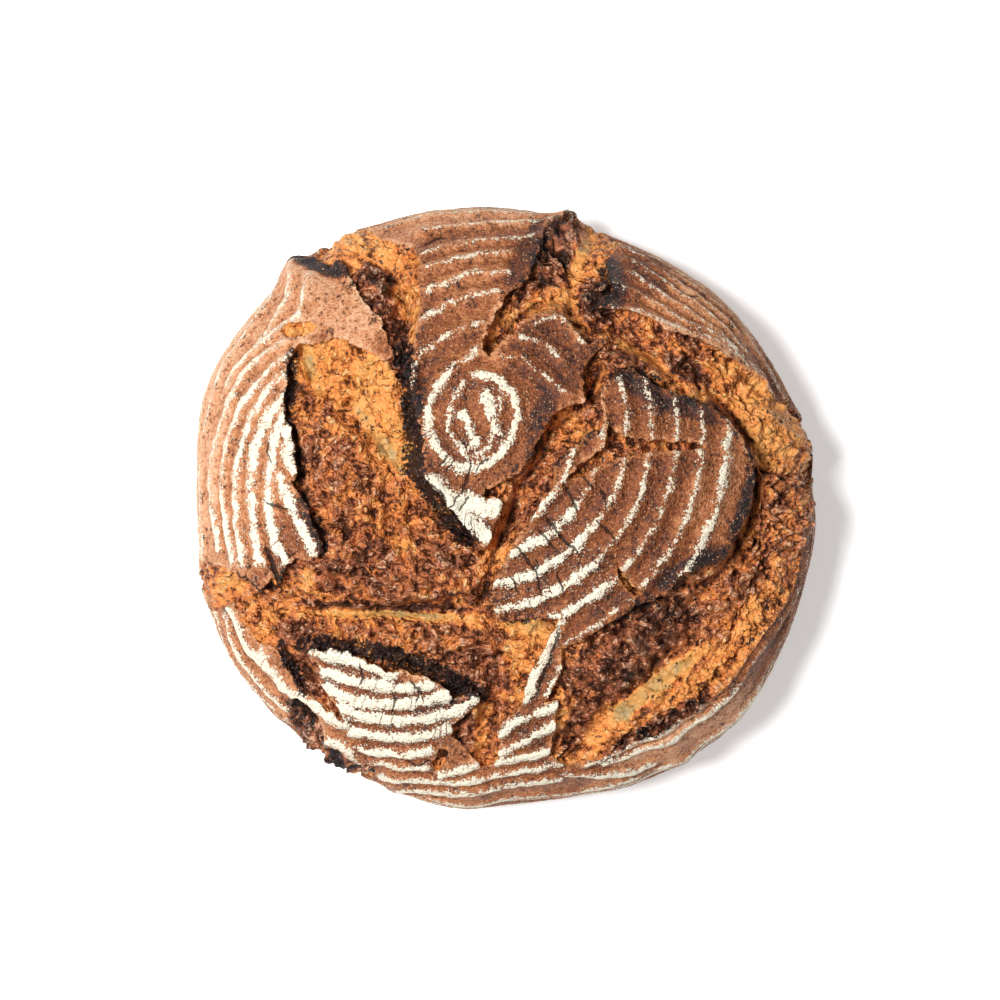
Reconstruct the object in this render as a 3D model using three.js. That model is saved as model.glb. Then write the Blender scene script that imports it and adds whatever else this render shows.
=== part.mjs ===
// A round sourdough loaf, baked on its flat base. The proofing basket's crust has torn open in the oven:
// plates of crust stand on the dome, and between them the torn crumb falls to creases. One solid, in
// millimetres, with +Z up and the origin under the middle of the loaf, on the surface that it stands on.
import * as THREE from "three";

// ---- Driving dimensions -----------------------------------------------------------------------------------
const LOAF_WIDTH = 249; // across the loaf, along X
const RIM_HEIGHT = 33; // of the widest level above the base
const DOME_RISE = 60; // from the widest level to the middle of the dome
const DOME_FULLNESS = 2.25; // exponent of the dome's profile: 2 is an ellipse, and more is fuller
const BASE_SHARE = 0.8; // the flat base's radius, as a share of the rim's
const SIDE_FULLNESS = 2.1; // exponent of the side's profile under the rim
const CRUST_STEP = 2.6; // the drop at the edge of a plate of crust
const EDGE_WIDTH = 1.6; // how far that drop reaches outwards
const TEAR_REACH = 15; // how far the tears run down the side below the rim
const TEAR_CLOSING = 1; // how much they narrow on each side for every millimetre that they run down
const PLATE_REACH = 8; // from this far below the rim, the plates' outlines run straight down
const RIM_RECESS = 0.35; // the share of the tears' depth that is left at the rim, where the crumb bulges out
const TILT_START = 0.78; // the share of the rim's radius where relief starts to lean outwards
const CRAG_HEIGHT = 0.9; // of the lumps in the torn crumb
const CRAG_PITCH = 12; // from one lump to the next
const PLATE_WAVE_HEIGHT = 0.5; // of the slow waves in the crust
const PLATE_WAVE_PITCH = 46;
const MOUND_TOP = 0.45; // a mound's top is this share of its size, and its foot MOUND_FOOT of it
const MOUND_FOOT = 1.35;
const MOUND_CLEARANCE = 5; // from a plate's edge, in which a mound fades out
const CRACK_FLOOR = 0.3; // the flat middle of a crack, as a share of its width
const BULGE_IN_CRUMB = 0.45; // the share of a bulge that the torn crumb follows

// ---- Mesh spacing -----------------------------------------------------------------------------------------
const TOP_SPACING = 4.3;
const RIM_SPACING = 5;
const SIDE_SPACING = 7.5;
const BASE_SPACING = 15;
const FEWEST_IN_RING = 6;
const ROW_SHARE = 0.87; // from ring to ring, as a share of the spacing, for triangles with equal sides
const SNAP_DISTANCE = 1.9; // a vertex nearer than this to a plate's edge or a crease moves onto it
const STEEP_SHARE = 0.97; // of the rim's radius: past it the map shows the surface too steeply to snap further
const ON_EDGE = 0.05; // a vertex this near to a plate's edge counts as on it
const HALVINGS = 12; // of a mesh edge, in the search for where a plate's edge crosses it
const END_SHARE = 0.12; // that crossing keeps this share of the mesh edge's length away from its ends

// ---- The map ----------------------------------------------------------------------------------------------
// Outlines are drawn on a map of the loaf seen from above, X to the right and Y towards the viewer. The map is
// a view in perspective, from MAP_EYE above the rim. Points outside the rim lie on the side, as far below the
// rim along the crust as they are outside it.
const MAP_WIDTH = 620; // the loaf's width in map units
const MAP_CENTRE = [507, 507.5];
const MAP_EYE = 1340;
const UNIT = LOAF_WIDTH / MAP_WIDTH;

const RIM = [
  [816, 500], [812, 545], [800, 595], [780, 655], [745, 712], [700, 752], [640, 782], [575, 796],
  [505, 806], [440, 804], [380, 784], [320, 752], [268, 708], [232, 660], [207, 600], [197, 530],
  [197, 470], [203, 400], [226, 350], [262, 303], [310, 258], [365, 228], [430, 212], [500, 207],
  [570, 222], [635, 246], [697, 280], [748, 328], [785, 385], [810, 445],
];

// Plates of crust, each a closed outline.
const PLATES = {
  crown: [
    [370, 180], [378, 212], [392, 233], [419, 245], [421, 295], [409, 360], [411, 384], [421, 415],
    [427, 448], [421, 465], [448, 506], [483, 547], [501, 503], [478, 495], [520, 468], [535, 452],
    [546, 414], [556, 404], [578, 402], [585, 394], [581, 378], [603, 347], [583, 335], [556, 308],
    [528, 322], [500, 351], [487, 357], [481, 350], [498, 306], [523, 281], [540, 241], [575, 208],
    [575, 175],
  ],
  shell: [
    [606, 380], [620, 371], [660, 387], [718, 413], [741, 436], [755, 482], [737, 527], [722, 554],
    [700, 561], [655, 597], [600, 628], [548, 660], [560, 620], [500, 622], [492, 592], [520, 535],
    [553, 485], [553, 468], [572, 447], [612, 428], [602, 400],
  ],
  tail: [
    [566, 610], [564, 650], [543, 703], [561, 698], [553, 745], [572, 768], [570, 805], [486, 805],
    [499, 730], [523, 700], [538, 655], [549, 634],
  ],
  left: [
    [270, 230], [288, 258], [318, 260], [345, 268], [357, 291], [383, 330], [393, 356], [348, 339],
    [300, 347], [286, 376], [281, 403], [296, 468], [290, 482], [319, 552], [288, 567], [280, 587],
    [262, 591], [230, 567], [208, 562], [165, 560], [155, 420], [185, 320],
  ],
  flap: [
    [308, 649], [342, 650], [380, 667], [430, 678], [447, 692], [481, 697], [454, 722], [449, 738],
    [480, 766], [572, 768], [640, 741], [690, 716], [750, 657], [797, 575], [808, 520], [845, 500],
    [835, 620], [745, 775], [600, 835], [430, 840], [378, 800], [358, 738], [330, 695],
  ],
  foot: [
    [175, 625], [227, 604], [236, 625], [251, 645], [268, 647], [280, 659], [296, 692], [346, 720],
    [374, 772], [343, 752], [320, 722], [293, 697], [287, 704], [288, 722], [280, 765], [205, 715],
  ],
  shoulder: [
    [605, 200], [616, 240], [610, 275], [622, 308], [665, 327], [712, 343], [745, 362], [773, 388],
    [810, 400], [805, 330], [720, 245],
  ],
};

// Creases, the deepest lines of the tears: [x, y, depth in mm].
const CREASES = [
  [[300, 350, 6], [312, 375, 9], [330, 395, 8], [352, 412, 8], [375, 435, 9], [397, 462, 10],
    [408, 492, 11], [428, 516, 11], [468, 536, 6]],
  [[195, 590, 3], [250, 598, 6], [285, 605, 7], [320, 614, 9], [355, 614, 11], [405, 611, 11],
    [450, 607, 10], [482, 616, 8], [500, 645, 8], [500, 690, 8], [491, 735, 7], [487, 762, 3]],
  [[574, 764, 4], [590, 735, 8], [612, 708, 11], [645, 683, 12], [680, 655, 12], [712, 625, 11],
    [745, 598, 9], [785, 568, 5], [812, 548, 2]],
  [[757, 468, 8], [756, 500, 9], [746, 535, 10], [725, 570, 11], [690, 612, 12]],
  [[612, 315, 8], [640, 345, 10], [665, 366, 9], [700, 372, 10], [712, 392, 10], [738, 420, 9],
    [757, 448, 9], [780, 456, 8], [815, 472, 4]],
  [[600, 366, 6], [590, 395, 8], [572, 415, 9], [548, 434, 7], [543, 455, 7], [520, 487, 9],
    [507, 522, 9], [492, 560, 8], [482, 604, 7]],
  [[592, 222, 3], [582, 250, 7], [571, 285, 9], [570, 322, 8], [592, 332, 6], [612, 315, 8]],
  [[566, 296, 8], [532, 306, 9], [508, 332, 8], [488, 354, 3]],
  [[318, 250, 2], [358, 250, 3], [385, 262, 5], [400, 290, 9], [408, 312, 9], [405, 340, 6],
    [402, 368, 4]],
  [[250, 602, 5], [292, 640, 5], [303, 668, 7], [325, 695, 6], [346, 716, 5], [360, 745, 4],
    [376, 776, 3]],
  [[291, 700, 3], [300, 722, 8], [322, 745, 8], [345, 763, 6], [372, 778, 3]],
];

// Lumps of crumb that stand between the plates: place, half length and width, turn in degrees, rise in mm.
const MOUNDS = [
  { at: [345, 470], size: [78, 34], turn: 62, rise: 7 },
  { at: [395, 565], size: [95, 34], turn: 4, rise: 7.5 },
  { at: [430, 640], size: [70, 18], turn: 8, rise: 3 },
  { at: [375, 290], size: [34, 15], turn: 60, rise: 4 },
  { at: [600, 300], size: [24, 14], turn: -55, rise: 4 },
  { at: [625, 362], size: [38, 12], turn: 15, rise: 3.5 },
  { at: [675, 358], size: [15, 10], turn: -50, rise: 4 },
  { at: [770, 425], size: [40, 22], turn: 50, rise: 4 },
  { at: [790, 505], size: [42, 26], turn: 80, rise: 5 },
  { at: [625, 655], size: [48, 24], turn: -32, rise: 4 },
  { at: [530, 660], size: [36, 12], turn: -58, rise: 2.5 },
];

// Where the dome and its plates bulge or curl up: place, reach and rise in mm.
const BULGES = [
  { at: [480, 425], reach: 95, rise: 4.5 },
  { at: [428, 478], reach: 42, rise: 4.5 },
  { at: [640, 500], reach: 95, rise: 6 },
  { at: [395, 672], reach: 60, rise: 4 },
  { at: [567, 214], reach: 22, rise: 5 },
  { at: [296, 262], reach: 26, rise: 4 },
  { at: [290, 470], reach: 60, rise: 2.5 },
  { at: [500, 290], reach: 50, rise: 2 },
];

// Small tears and cracks in the plates: width in map units and depth in mm.
const CRACKS = [
  { line: [[600, 442], [640, 446], [675, 447], [704, 448]], width: 13, depth: 2.2 },
  { line: [[600, 442], [583, 462], [572, 480]], width: 7, depth: 2 },
  { line: [[282, 332], [300, 325], [318, 332]], width: 12, depth: 1.8 },
  { line: [[270, 548], [275, 570], [283, 590]], width: 9, depth: 4 },
  { line: [[446, 744], [440, 757], [432, 768]], width: 11, depth: 3 },
  { line: [[613, 570], [628, 592]], width: 8, depth: 2.5 },
];

// ---- Helpers ----------------------------------------------------------------------------------------------
const mix = (a, b, t) => a + (b - a) * t;
const clamp = (t) => Math.min(1, Math.max(0, t));
const smooth = (t) => {
  const c = clamp(t);
  return c * c * (3 - 2 * c);
};

// Linear interpolation in a table of rows, from column `from` to column `to`.
function look(table, from, to, value) {
  let i = 1;
  while (i < table.length - 1 && table[i][from] < value) i += 1;
  const [a, b] = [table[i - 1], table[i]];
  return mix(a[to], b[to], clamp((value - a[from]) / (b[from] - a[from])));
}

// The nearest point of a line to (x, y): its distance, place and how far along its segment it lies.
function nearest(points, x, y, closed = false) {
  let best = { distance: Infinity };
  const last = closed ? points.length : points.length - 1;
  for (let i = 0; i < last; i += 1) {
    const a = points[i];
    const b = points[(i + 1) % points.length];
    const [dx, dy] = [b[0] - a[0], b[1] - a[1]];
    const t = clamp(((x - a[0]) * dx + (y - a[1]) * dy) / (dx * dx + dy * dy));
    const [px, py] = [a[0] + dx * t, a[1] + dy * t];
    const distance = Math.hypot(x - px, y - py);
    if (distance < best.distance) best = { distance, x: px, y: py, a, b, t };
  }
  return best;
}

function inside(outline, x, y) {
  let odd = false;
  outline.forEach((a, i) => {
    const b = outline[(i + 1) % outline.length];
    if (a[1] > y !== b[1] > y && x < ((b[0] - a[0]) * (y - a[1])) / (b[1] - a[1]) + a[0]) odd = !odd;
  });
  return odd;
}

// ---- The plain loaf: rim, dome, side and base -------------------------------------------------------------
const rimTable = RIM.map(([x, y]) => {
  const [dx, dy] = [x - MAP_CENTRE[0], y - MAP_CENTRE[1]];
  return [Math.atan2(dy, dx), Math.hypot(dx, dy)];
}).sort((a, b) => a[0] - b[0]);

// The rim's radius in map units at an angle, by a closed Catmull-Rom curve through RIM.
function rimRadius(angle) {
  const n = rimTable.length;
  let i = rimTable.findIndex((row) => row[0] > angle);
  if (i < 0) i = n;
  const row = (k) => {
    const [a, r] = rimTable[((k % n) + n) % n];
    return [a + 2 * Math.PI * Math.floor(k / n), r];
  };
  const [p0, p1, p2, p3] = [row(i - 2), row(i - 1), row(i), row(i + 1)];
  const t = (angle - p1[0]) / (p2[0] - p1[0]);
  const [m1, m2] = [(p2[1] - p0[1]) / 2, (p3[1] - p1[1]) / 2];
  const [t2, t3] = [t * t, t * t * t];
  return (
    (2 * t3 - 3 * t2 + 1) * p1[1] + (t3 - 2 * t2 + t) * m1 + (3 * t2 - 2 * t3) * p2[1] + (t3 - t2) * m2
  );
}

// The profile, from the middle of the dome over the side to the middle of the base, in rows of these columns:
const LENGTH = 0; // along the crust
const SHARE = 1; // of the rim's radius
const HEIGHT = 2;
const ON_MAP = 3; // the share of the rim's radius on the map, which sees the loaf in perspective
const DOME_STEPS = 240;
const SIDE_STEPS = 24;
const profile = [];
function addToProfile(share, height) {
  const before = profile.at(-1) ?? [0, share, height];
  const across = ((share - before[SHARE]) * LOAF_WIDTH) / 2;
  const length = before[LENGTH] + Math.hypot(across, height - before[HEIGHT]);
  profile.push([length, share, height, share / (1 - (height - RIM_HEIGHT) / MAP_EYE)]);
}
for (let i = 0; i <= DOME_STEPS; i += 1) {
  const share = Math.sin((i / DOME_STEPS) * (Math.PI / 2));
  addToProfile(share, RIM_HEIGHT + DOME_RISE * (1 - share ** DOME_FULLNESS) ** (1 / DOME_FULLNESS));
}
const DOME_LENGTH = profile.at(-1)[LENGTH];
for (let i = 1; i <= SIDE_STEPS; i += 1) {
  const turn = (i / SIDE_STEPS) * (Math.PI / 2);
  const share = mix(BASE_SHARE, 1, Math.cos(turn) ** (2 / SIDE_FULLNESS));
  addToProfile(share, RIM_HEIGHT * (1 - Math.sin(turn) ** (2 / SIDE_FULLNESS)));
}
const BASE_LENGTH = profile.at(-1)[LENGTH];
addToProfile(0, 0);

// The rim is the level that reaches furthest on the map, a little above the widest one. Down to it, the profile
// is seen.
const furthest = Math.max(...profile.map((row) => row[ON_MAP]));
profile.forEach((row) => {
  row[ON_MAP] /= furthest;
});
const seen = profile.slice(0, profile.findIndex((row) => row[ON_MAP] === 1) + 1);
const RIM_LENGTH = seen.at(-1)[LENGTH];
const SIDE_LENGTH = BASE_LENGTH - RIM_LENGTH;

const fromCentre = (reach, angle) => [
  MAP_CENTRE[0] + reach * Math.cos(angle),
  MAP_CENTRE[1] + reach * Math.sin(angle),
];

// The plain surface at a map point: its place, its distance below the rim along the crust, and the tilt of the
// direction in which relief moves it, from straight up on the dome to straight out at the widest level.
function plainSurface(x, y) {
  const [dx, dy] = [x - MAP_CENTRE[0], y - MAP_CENTRE[1]];
  const reach = Math.hypot(dx, dy);
  const angle = Math.atan2(dy, dx);
  const rim = rimRadius(angle);
  const below = Math.max(0, reach - rim) * UNIT;
  const length = look(seen, ON_MAP, LENGTH, reach / rim) + below;
  const radius = look(profile, LENGTH, SHARE, length) * rim * UNIT;
  const height = look(profile, LENGTH, HEIGHT, length);
  const share = look(profile, LENGTH, SHARE, Math.min(length, DOME_LENGTH));
  const leaning = smooth((share - TILT_START) / (1 - TILT_START));
  return { radius, height, angle, rim, share, leaning, tilt: leaning * (Math.PI / 2), below };
}

// ---- The relief over the plain loaf -----------------------------------------------------------------------
// Distance in mm outside the nearest plate, or below 0 inside one. The tears close down the side, and under
// them it is all crust.
function outsidePlates(x, y) {
  const { below, rim, angle } = plainSurface(x, y);
  const [heldX, heldY] = below > PLATE_REACH ? fromCentre(rim + PLATE_REACH / UNIT, angle) : [x, y];
  let least = TEAR_REACH - below;
  for (const outline of Object.values(PLATES)) {
    const away = nearest(outline, heldX, heldY, true).distance * UNIT;
    least = Math.min(least, (inside(outline, heldX, heldY) ? -away : away) - TEAR_CLOSING * below);
  }
  return least;
}

function crease(x, y) {
  let best = { distance: Infinity, depth: 0 };
  for (const line of CREASES) {
    const near = nearest(line, x, y);
    if (near.distance < best.distance) {
      best = { distance: near.distance, depth: mix(near.a[2], near.b[2], near.t) };
    }
  }
  return { distance: best.distance * UNIT, depth: best.depth };
}

const bell = (x, y, at, reach) => Math.exp(-((x - at[0]) ** 2 + (y - at[1]) ** 2) / (reach * reach));

const bulge = (x, y) => BULGES.reduce((sum, b) => sum + b.rise * bell(x, y, b.at, b.reach), 0);

function mound(x, y) {
  return MOUNDS.reduce((highest, { at, size, turn, rise }) => {
    const a = THREE.MathUtils.degToRad(turn);
    const u = ((x - at[0]) * Math.cos(a) + (y - at[1]) * Math.sin(a)) / size[0];
    const v = ((y - at[1]) * Math.cos(a) - (x - at[0]) * Math.sin(a)) / size[1];
    return Math.max(highest, rise * smooth((MOUND_FOOT - Math.hypot(u, v)) / (MOUND_FOOT - MOUND_TOP)));
  }, 0);
}

// Two trains of waves that cross and bend: [across, down] on the map for their direction, how far they bend, and
// the direction in which the bends follow one another.
const WAVE_TRAINS = [
  { direction: [1, 0.35], bend: 1.3, bends: [0, 0.47] },
  { direction: [-0.4, 0.83], bend: 1.7, bends: [0.39, 0] },
];

// Uneven waves between -1 and 1, with a given distance in mm from one to the next.
function waves(x, y, pitch) {
  const phase = ([across, down]) => ((across * x + down * y) * UNIT * 2 * Math.PI) / pitch;
  const heights = WAVE_TRAINS.map((train) => {
    return Math.sin(phase(train.direction) + train.bend * Math.sin(phase(train.bends)));
  });
  return heights.reduce((sum, height) => sum + height, 0) / WAVE_TRAINS.length;
}

function crackDepth(x, y) {
  return CRACKS.reduce((deepest, { line, width, depth }) => {
    const away = nearest(line, x, y).distance / (width / 2);
    return Math.max(deepest, depth * (1 - smooth(away - CRACK_FLOOR)));
  }, 0);
}

// How far the crumb lies under the crust, between a plate's edge and a crease: it falls faster and faster.
function tearDepth(x, y, out) {
  const { distance, depth } = crease(x, y);
  const fall = out > 0 ? out / (out + distance) : 0;
  return CRUST_STEP + depth * fall * smooth((1 + fall) / 2);
}

function relief(x, y, leaning) {
  const out = outsidePlates(x, y);
  const swell = bulge(x, y);
  const plate = swell + PLATE_WAVE_HEIGHT * waves(x, y, PLATE_WAVE_PITCH) - crackDepth(x, y);
  const recess = tearDepth(x, y, out) * mix(1, RIM_RECESS, smooth(2 * leaning - 1));
  const crags = CRAG_HEIGHT * waves(x, y, CRAG_PITCH) + mound(x, y) * smooth(out / MOUND_CLEARANCE);
  return mix(plate, BULGE_IN_CRUMB * swell - recess + crags, smooth(out / EDGE_WIDTH));
}

// A map point on the finished loaf, in mm.
function loafPoint(x, y) {
  const plain = plainSurface(x, y);
  const fade = 1 - smooth((plain.below - TEAR_REACH) / (SIDE_LENGTH - TEAR_REACH));
  const rise = fade > 0 ? relief(x, y, plain.leaning) * fade : 0;
  const radius = plain.radius + rise * Math.sin(plain.tilt);
  const height = plain.height + rise * Math.cos(plain.tilt);
  return new THREE.Vector3(radius * Math.cos(plain.angle), -radius * Math.sin(plain.angle), height);
}

// ---- The mesh: rings of vertices from the crown to the middle of the base, zipped together ----------------
// Each ring's length along the crust from the crown, and the spacing of its vertices.
function ringLevels() {
  const levels = [];
  for (let length = TOP_SPACING; length < RIM_LENGTH; length += TOP_SPACING * ROW_SHARE) {
    levels.push({ length, spacing: TOP_SPACING });
  }
  const sideRows = Math.round(SIDE_LENGTH / (SIDE_SPACING * ROW_SHARE));
  for (let i = 0; i <= sideRows; i += 1) {
    const down = i / sideRows;
    const spacing = mix(RIM_SPACING, SIDE_SPACING, down);
    levels.push({ length: mix(RIM_LENGTH, BASE_LENGTH, down), spacing });
  }
  const step = BASE_SPACING * ROW_SHARE;
  const end = profile.at(-1)[LENGTH] - step / 2;
  for (let length = BASE_LENGTH + step; length < end; length += step) {
    levels.push({ length, spacing: BASE_SPACING });
  }
  return levels;
}

// The vertices of one ring, on the map. Every other ring is turned by half a spacing.
function ringPoints({ length, spacing }, index) {
  const around = Math.PI * look(profile, LENGTH, SHARE, length) * LOAF_WIDTH;
  const count = Math.max(FEWEST_IN_RING, Math.round(around / spacing));
  const below = Math.max(0, length - RIM_LENGTH);
  return Array.from({ length: count }, (_, i) => {
    const angle = ((i + (index % 2) * 0.5) / count) * 2 * Math.PI - Math.PI;
    const reach = look(seen, LENGTH, ON_MAP, length) * rimRadius(angle) + below / UNIT;
    const [x, y] = fromCentre(reach, angle);
    return { angle, x, y };
  });
}

// Moves a vertex that lies close to a plate's edge onto it, or else one in the crumb onto a crease near it.
function snapToLine(point) {
  const { share } = plainSurface(point.x, point.y);
  const reach = (SNAP_DISTANCE / UNIT) * Math.sqrt(1 - Math.min(share, STEEP_SHARE) ** 2);
  const closest = (lines, closed) => {
    const near = lines.map((line) => nearest(line, point.x, point.y, closed));
    return near.reduce((best, one) => (one.distance < best.distance ? one : best));
  };
  const edge = closest(Object.values(PLATES), true);
  const valley = closest(CREASES, false);
  if (edge.distance < reach && outsidePlates(edge.x, edge.y) > -ON_EDGE) {
    [point.x, point.y] = [edge.x, edge.y];
  } else if (valley.distance < reach && outsidePlates(point.x, point.y) > SNAP_DISTANCE) {
    [point.x, point.y] = [valley.x, valley.y];
  }
}

// Triangles between two rings, taking the next vertex of whichever ring is behind.
function zip(inner, outer, triangles) {
  let [i, j] = [0, 0];
  const at = (ring, k) => ring[k % ring.length];
  const turn = (ring, k) => at(ring, k).angle + (k >= ring.length ? 2 * Math.PI : 0);
  while (i < inner.length || j < outer.length) {
    const inward = j >= outer.length || (i < inner.length && turn(inner, i + 1) <= turn(outer, j + 1));
    const third = inward ? at(inner, i + 1) : at(outer, j + 1);
    triangles.push([at(inner, i), at(outer, j), third]);
    if (inward) i += 1;
    else j += 1;
  }
}

function fan(ring, tip, triangles) {
  ring.forEach((point, k) => triangles.push([tip, point, ring[(k + 1) % ring.length]]));
}

// Cuts every triangle that a plate's edge crosses along it, so that the edge is a clean line of the mesh.
function cutAtEdges(triangles, points) {
  const crossings = new Map();
  const crosses = (a, b) => Math.min(a.out, b.out) < -ON_EDGE && Math.max(a.out, b.out) > ON_EDGE;
  const crossing = (a, b) => {
    const key = [a.index, b.index].sort((m, n) => m - n).join();
    if (!crossings.has(key)) {
      const [low, high] = a.out < b.out ? [a, b] : [b, a];
      const along = (t) => [mix(low.x, high.x, t), mix(low.y, high.y, t)];
      let t = 0.5;
      for (let i = 2; i < HALVINGS; i += 1) t += (outsidePlates(...along(t)) < 0 ? 1 : -1) * 0.5 ** i;
      const [x, y] = along(Math.min(1 - END_SHARE, Math.max(END_SHARE, t)));
      const point = { x, y, out: 0, index: points.length };
      points.push(point);
      crossings.set(key, point);
    }
    return crossings.get(key);
  };
  return triangles.flatMap((triangle) => {
    const count = triangle.filter((p, k) => crosses(p, triangle[(k + 1) % 3])).length;
    if (count === 0) return [triangle];
    // Turned so that the one vertex alone on its side, or the one on the edge, comes first.
    const first = triangle.findIndex((p, k) => {
      const [next, last] = [triangle[(k + 1) % 3], triangle[(k + 2) % 3]];
      return count === 2 ? crosses(p, next) && crosses(p, last) : crosses(next, last);
    });
    const [a, b, c] = [0, 1, 2].map((k) => triangle[(first + k) % 3]);
    if (count === 1) {
      const m = crossing(b, c);
      return [[a, b, m], [a, m, c]];
    }
    const [m, n] = [crossing(a, b), crossing(a, c)];
    return [[a, m, n], [m, b, c], [m, c, n]];
  });
}

function loafGeometry() {
  const rings = ringLevels().map(ringPoints);
  const crown = { x: MAP_CENTRE[0], y: MAP_CENTRE[1] };
  const points = [crown, ...rings.flat()];
  points.forEach((point, index) => {
    point.index = index;
    if (plainSurface(point.x, point.y).below < TEAR_REACH) snapToLine(point);
    point.out = outsidePlates(point.x, point.y);
  });
  const baseMiddle = { index: points.length, out: -TEAR_REACH };
  points.push(baseMiddle);
  const triangles = [];
  fan(rings[0], crown, triangles);
  for (let k = 1; k < rings.length; k += 1) zip(rings[k - 1], rings[k], triangles);
  const closing = [];
  fan(rings[rings.length - 1].toReversed(), baseMiddle, closing);
  const faces = [...cutAtEdges(triangles, points), ...closing];
  const places = points.map((p) => (p === baseMiddle ? new THREE.Vector3() : loafPoint(p.x, p.y)));
  const geometry = new THREE.BufferGeometry().setFromPoints(places);
  // The map's Y points towards the viewer, so a turn on the map runs the other way round in the part.
  geometry.setIndex(faces.flatMap(([a, b, c]) => [a.index, c.index, b.index]));
  geometry.computeBoundingBox();
  const middle = geometry.boundingBox.getCenter(new THREE.Vector3());
  geometry.translate(-middle.x, -middle.y, 0);
  geometry.computeVertexNormals();
  return geometry;
}

const crust = new THREE.MeshStandardMaterial({ color: 0x9a5a30, roughness: 0.75, metalness: 0 });
const loaf = new THREE.Mesh(loafGeometry(), crust);
loaf.name = "loaf";

const part = new THREE.Group();
part.add(loaf);

export default part;
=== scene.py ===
"""A round sourdough loaf: its crust and torn crumb as one dense closed mesh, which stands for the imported
solid.

The loaf is drawn on a map of it, seen from straight above: X to the right, Y towards the viewer, MAP_WIDTH
units across. The map is a view in perspective. Its centre, outlines, creases and swellings are those of
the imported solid, drawn finer. Points outside the rim lie on the side, as far below the rim along the crust
as they are outside it, and there the tears close towards their lower ends. The surface itself is made on the
unrolled map, whose points lie at the same angles round the centre, but as far from it as they are along the
crust. Lengths off the maps are in millimetres, until the mesh is scaled to metres.
"""

import math

import bpy
import numpy as np
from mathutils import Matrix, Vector, noise


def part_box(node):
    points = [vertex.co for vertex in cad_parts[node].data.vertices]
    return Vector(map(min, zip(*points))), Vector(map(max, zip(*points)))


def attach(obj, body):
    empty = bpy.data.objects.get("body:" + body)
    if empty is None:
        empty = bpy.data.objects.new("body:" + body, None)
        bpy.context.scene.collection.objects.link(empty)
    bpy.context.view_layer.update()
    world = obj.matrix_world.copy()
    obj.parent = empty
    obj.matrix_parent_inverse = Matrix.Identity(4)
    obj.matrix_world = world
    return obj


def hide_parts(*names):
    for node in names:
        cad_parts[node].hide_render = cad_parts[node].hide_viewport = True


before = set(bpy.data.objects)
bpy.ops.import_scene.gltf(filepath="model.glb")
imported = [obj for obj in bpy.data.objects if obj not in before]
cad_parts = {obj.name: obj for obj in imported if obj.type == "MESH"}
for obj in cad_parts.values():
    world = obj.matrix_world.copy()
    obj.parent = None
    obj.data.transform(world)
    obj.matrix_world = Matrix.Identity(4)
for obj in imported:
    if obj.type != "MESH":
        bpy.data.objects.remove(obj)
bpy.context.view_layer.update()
MM = 0.001  # metres

# ---- The plain loaf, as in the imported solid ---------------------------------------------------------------
LOAF_WIDTH = 249
RIM_HEIGHT = 33  # of the widest level above the base
DOME_RISE = 60  # from the widest level to the middle of the dome
DOME_FULLNESS = 2.25  # exponent of the dome's profile: 2 is an ellipse, and more is fuller
BASE_SHARE = 0.8  # the flat base's radius, as a share of the rim's
SIDE_FULLNESS = 2.1  # exponent of the side's profile under the rim
TILT_START = 0.78  # the share of the rim's radius where relief starts to lean outwards

MAP_WIDTH = 620
MAP_CENTRE = np.array([507.0, 507.5])
MAP_EYE = 1340  # how far above the rim the map is seen from
UNIT = LOAF_WIDTH / MAP_WIDTH  # millimetres in one map unit, at the rim

# ---- Relief -----------------------------------------------------------------------------------------------
CRUST_STEP = 2.6  # the drop at the edge of a plate of crust
EDGE_WIDTH = 1.4  # how far that drop reaches outwards
SCRAPE_RISE = 1.3  # how much shallower a scrape in the crust is than a tear beside it
TEAR_REACH = 15  # how far the tears run down the side below the rim
TEAR_WANDER = 5  # how much that reach varies
TEAR_CLOSING = 1  # how much each side of a tear closes in for each mm below the rim
PLATE_REACH = 8  # from this far below the rim, the plates' edges run straight down
RIM_RECESS = 0.35  # the share of the tears' depth that is left at the rim, where the crumb bulges out
RIDGE_HEIGHT = 1.9  # of the ridges that the proofing basket leaves, which hold the flour
RIDGE_REACH = 4.6
LIP_OUT = 0.7  # how far a plate's lip hangs over the tear
UNDERCUT = 0.6  # how far the wall under the lip steps back
LIP_LINE = 0.12  # a vertex this near to a plate's edge is on its lip, which is shaded as a sharp line
RAGGEDNESS = ((1.1, 5), (0.7, 1.7))  # how far torn edges wander, and the pitch of it
CRUST_WAVES = ((0.5, 26, 6), (0.35, 9, 7), (0.16, 3, 8))  # height, pitch and seed
TERRACES = 2.4  # steps in one unit of the noise that the crumb's levels come from
PIT_DEPTH = 2.8
JITTER = 0.5  # how far the crumb moves in every direction
JITTER_PITCH = 3.4
DENT_DEPTH = 0.5  # of the base's dents
DENT_PITCH = 11
OUTLINE_FIT_REACH = 18  # how far below the rim the side follows the outline

# ---- Mesh spacing -----------------------------------------------------------------------------------------
COARSENING = 1
TOP_SPACING = 1.01 * COARSENING
RIM_SPACING = 1.15 * COARSENING
SIDE_SPACING = 1.8 * COARSENING
BASE_SPACING = 4 * COARSENING
ROW_SHARE = 0.87  # from ring to ring, as a share of the spacing, for triangles with equal sides
SNAP_SHARE = 0.42  # a vertex nearer to a plate's edge than this share of the spacing moves onto it
DISC_RADIUS = 0.495  # of the dome and side on the square that textures are baked on
BASE_DISC_RADIUS = 0.08  # of the base there
SURFACE_VALUES = ("edge", "ring", "crack", "cracked", "flour", "bake", "toast", "char")
POCKET_ROUNDS = 6  # of smoothing, over which a vertex counts as hollow
HOLLOW_ROUNDS = 60
SPIKES = ((60, 3.2), (8, 1.6), (3, 0.9))  # rounds of smoothing, and how far crumb may stand out of them

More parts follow.
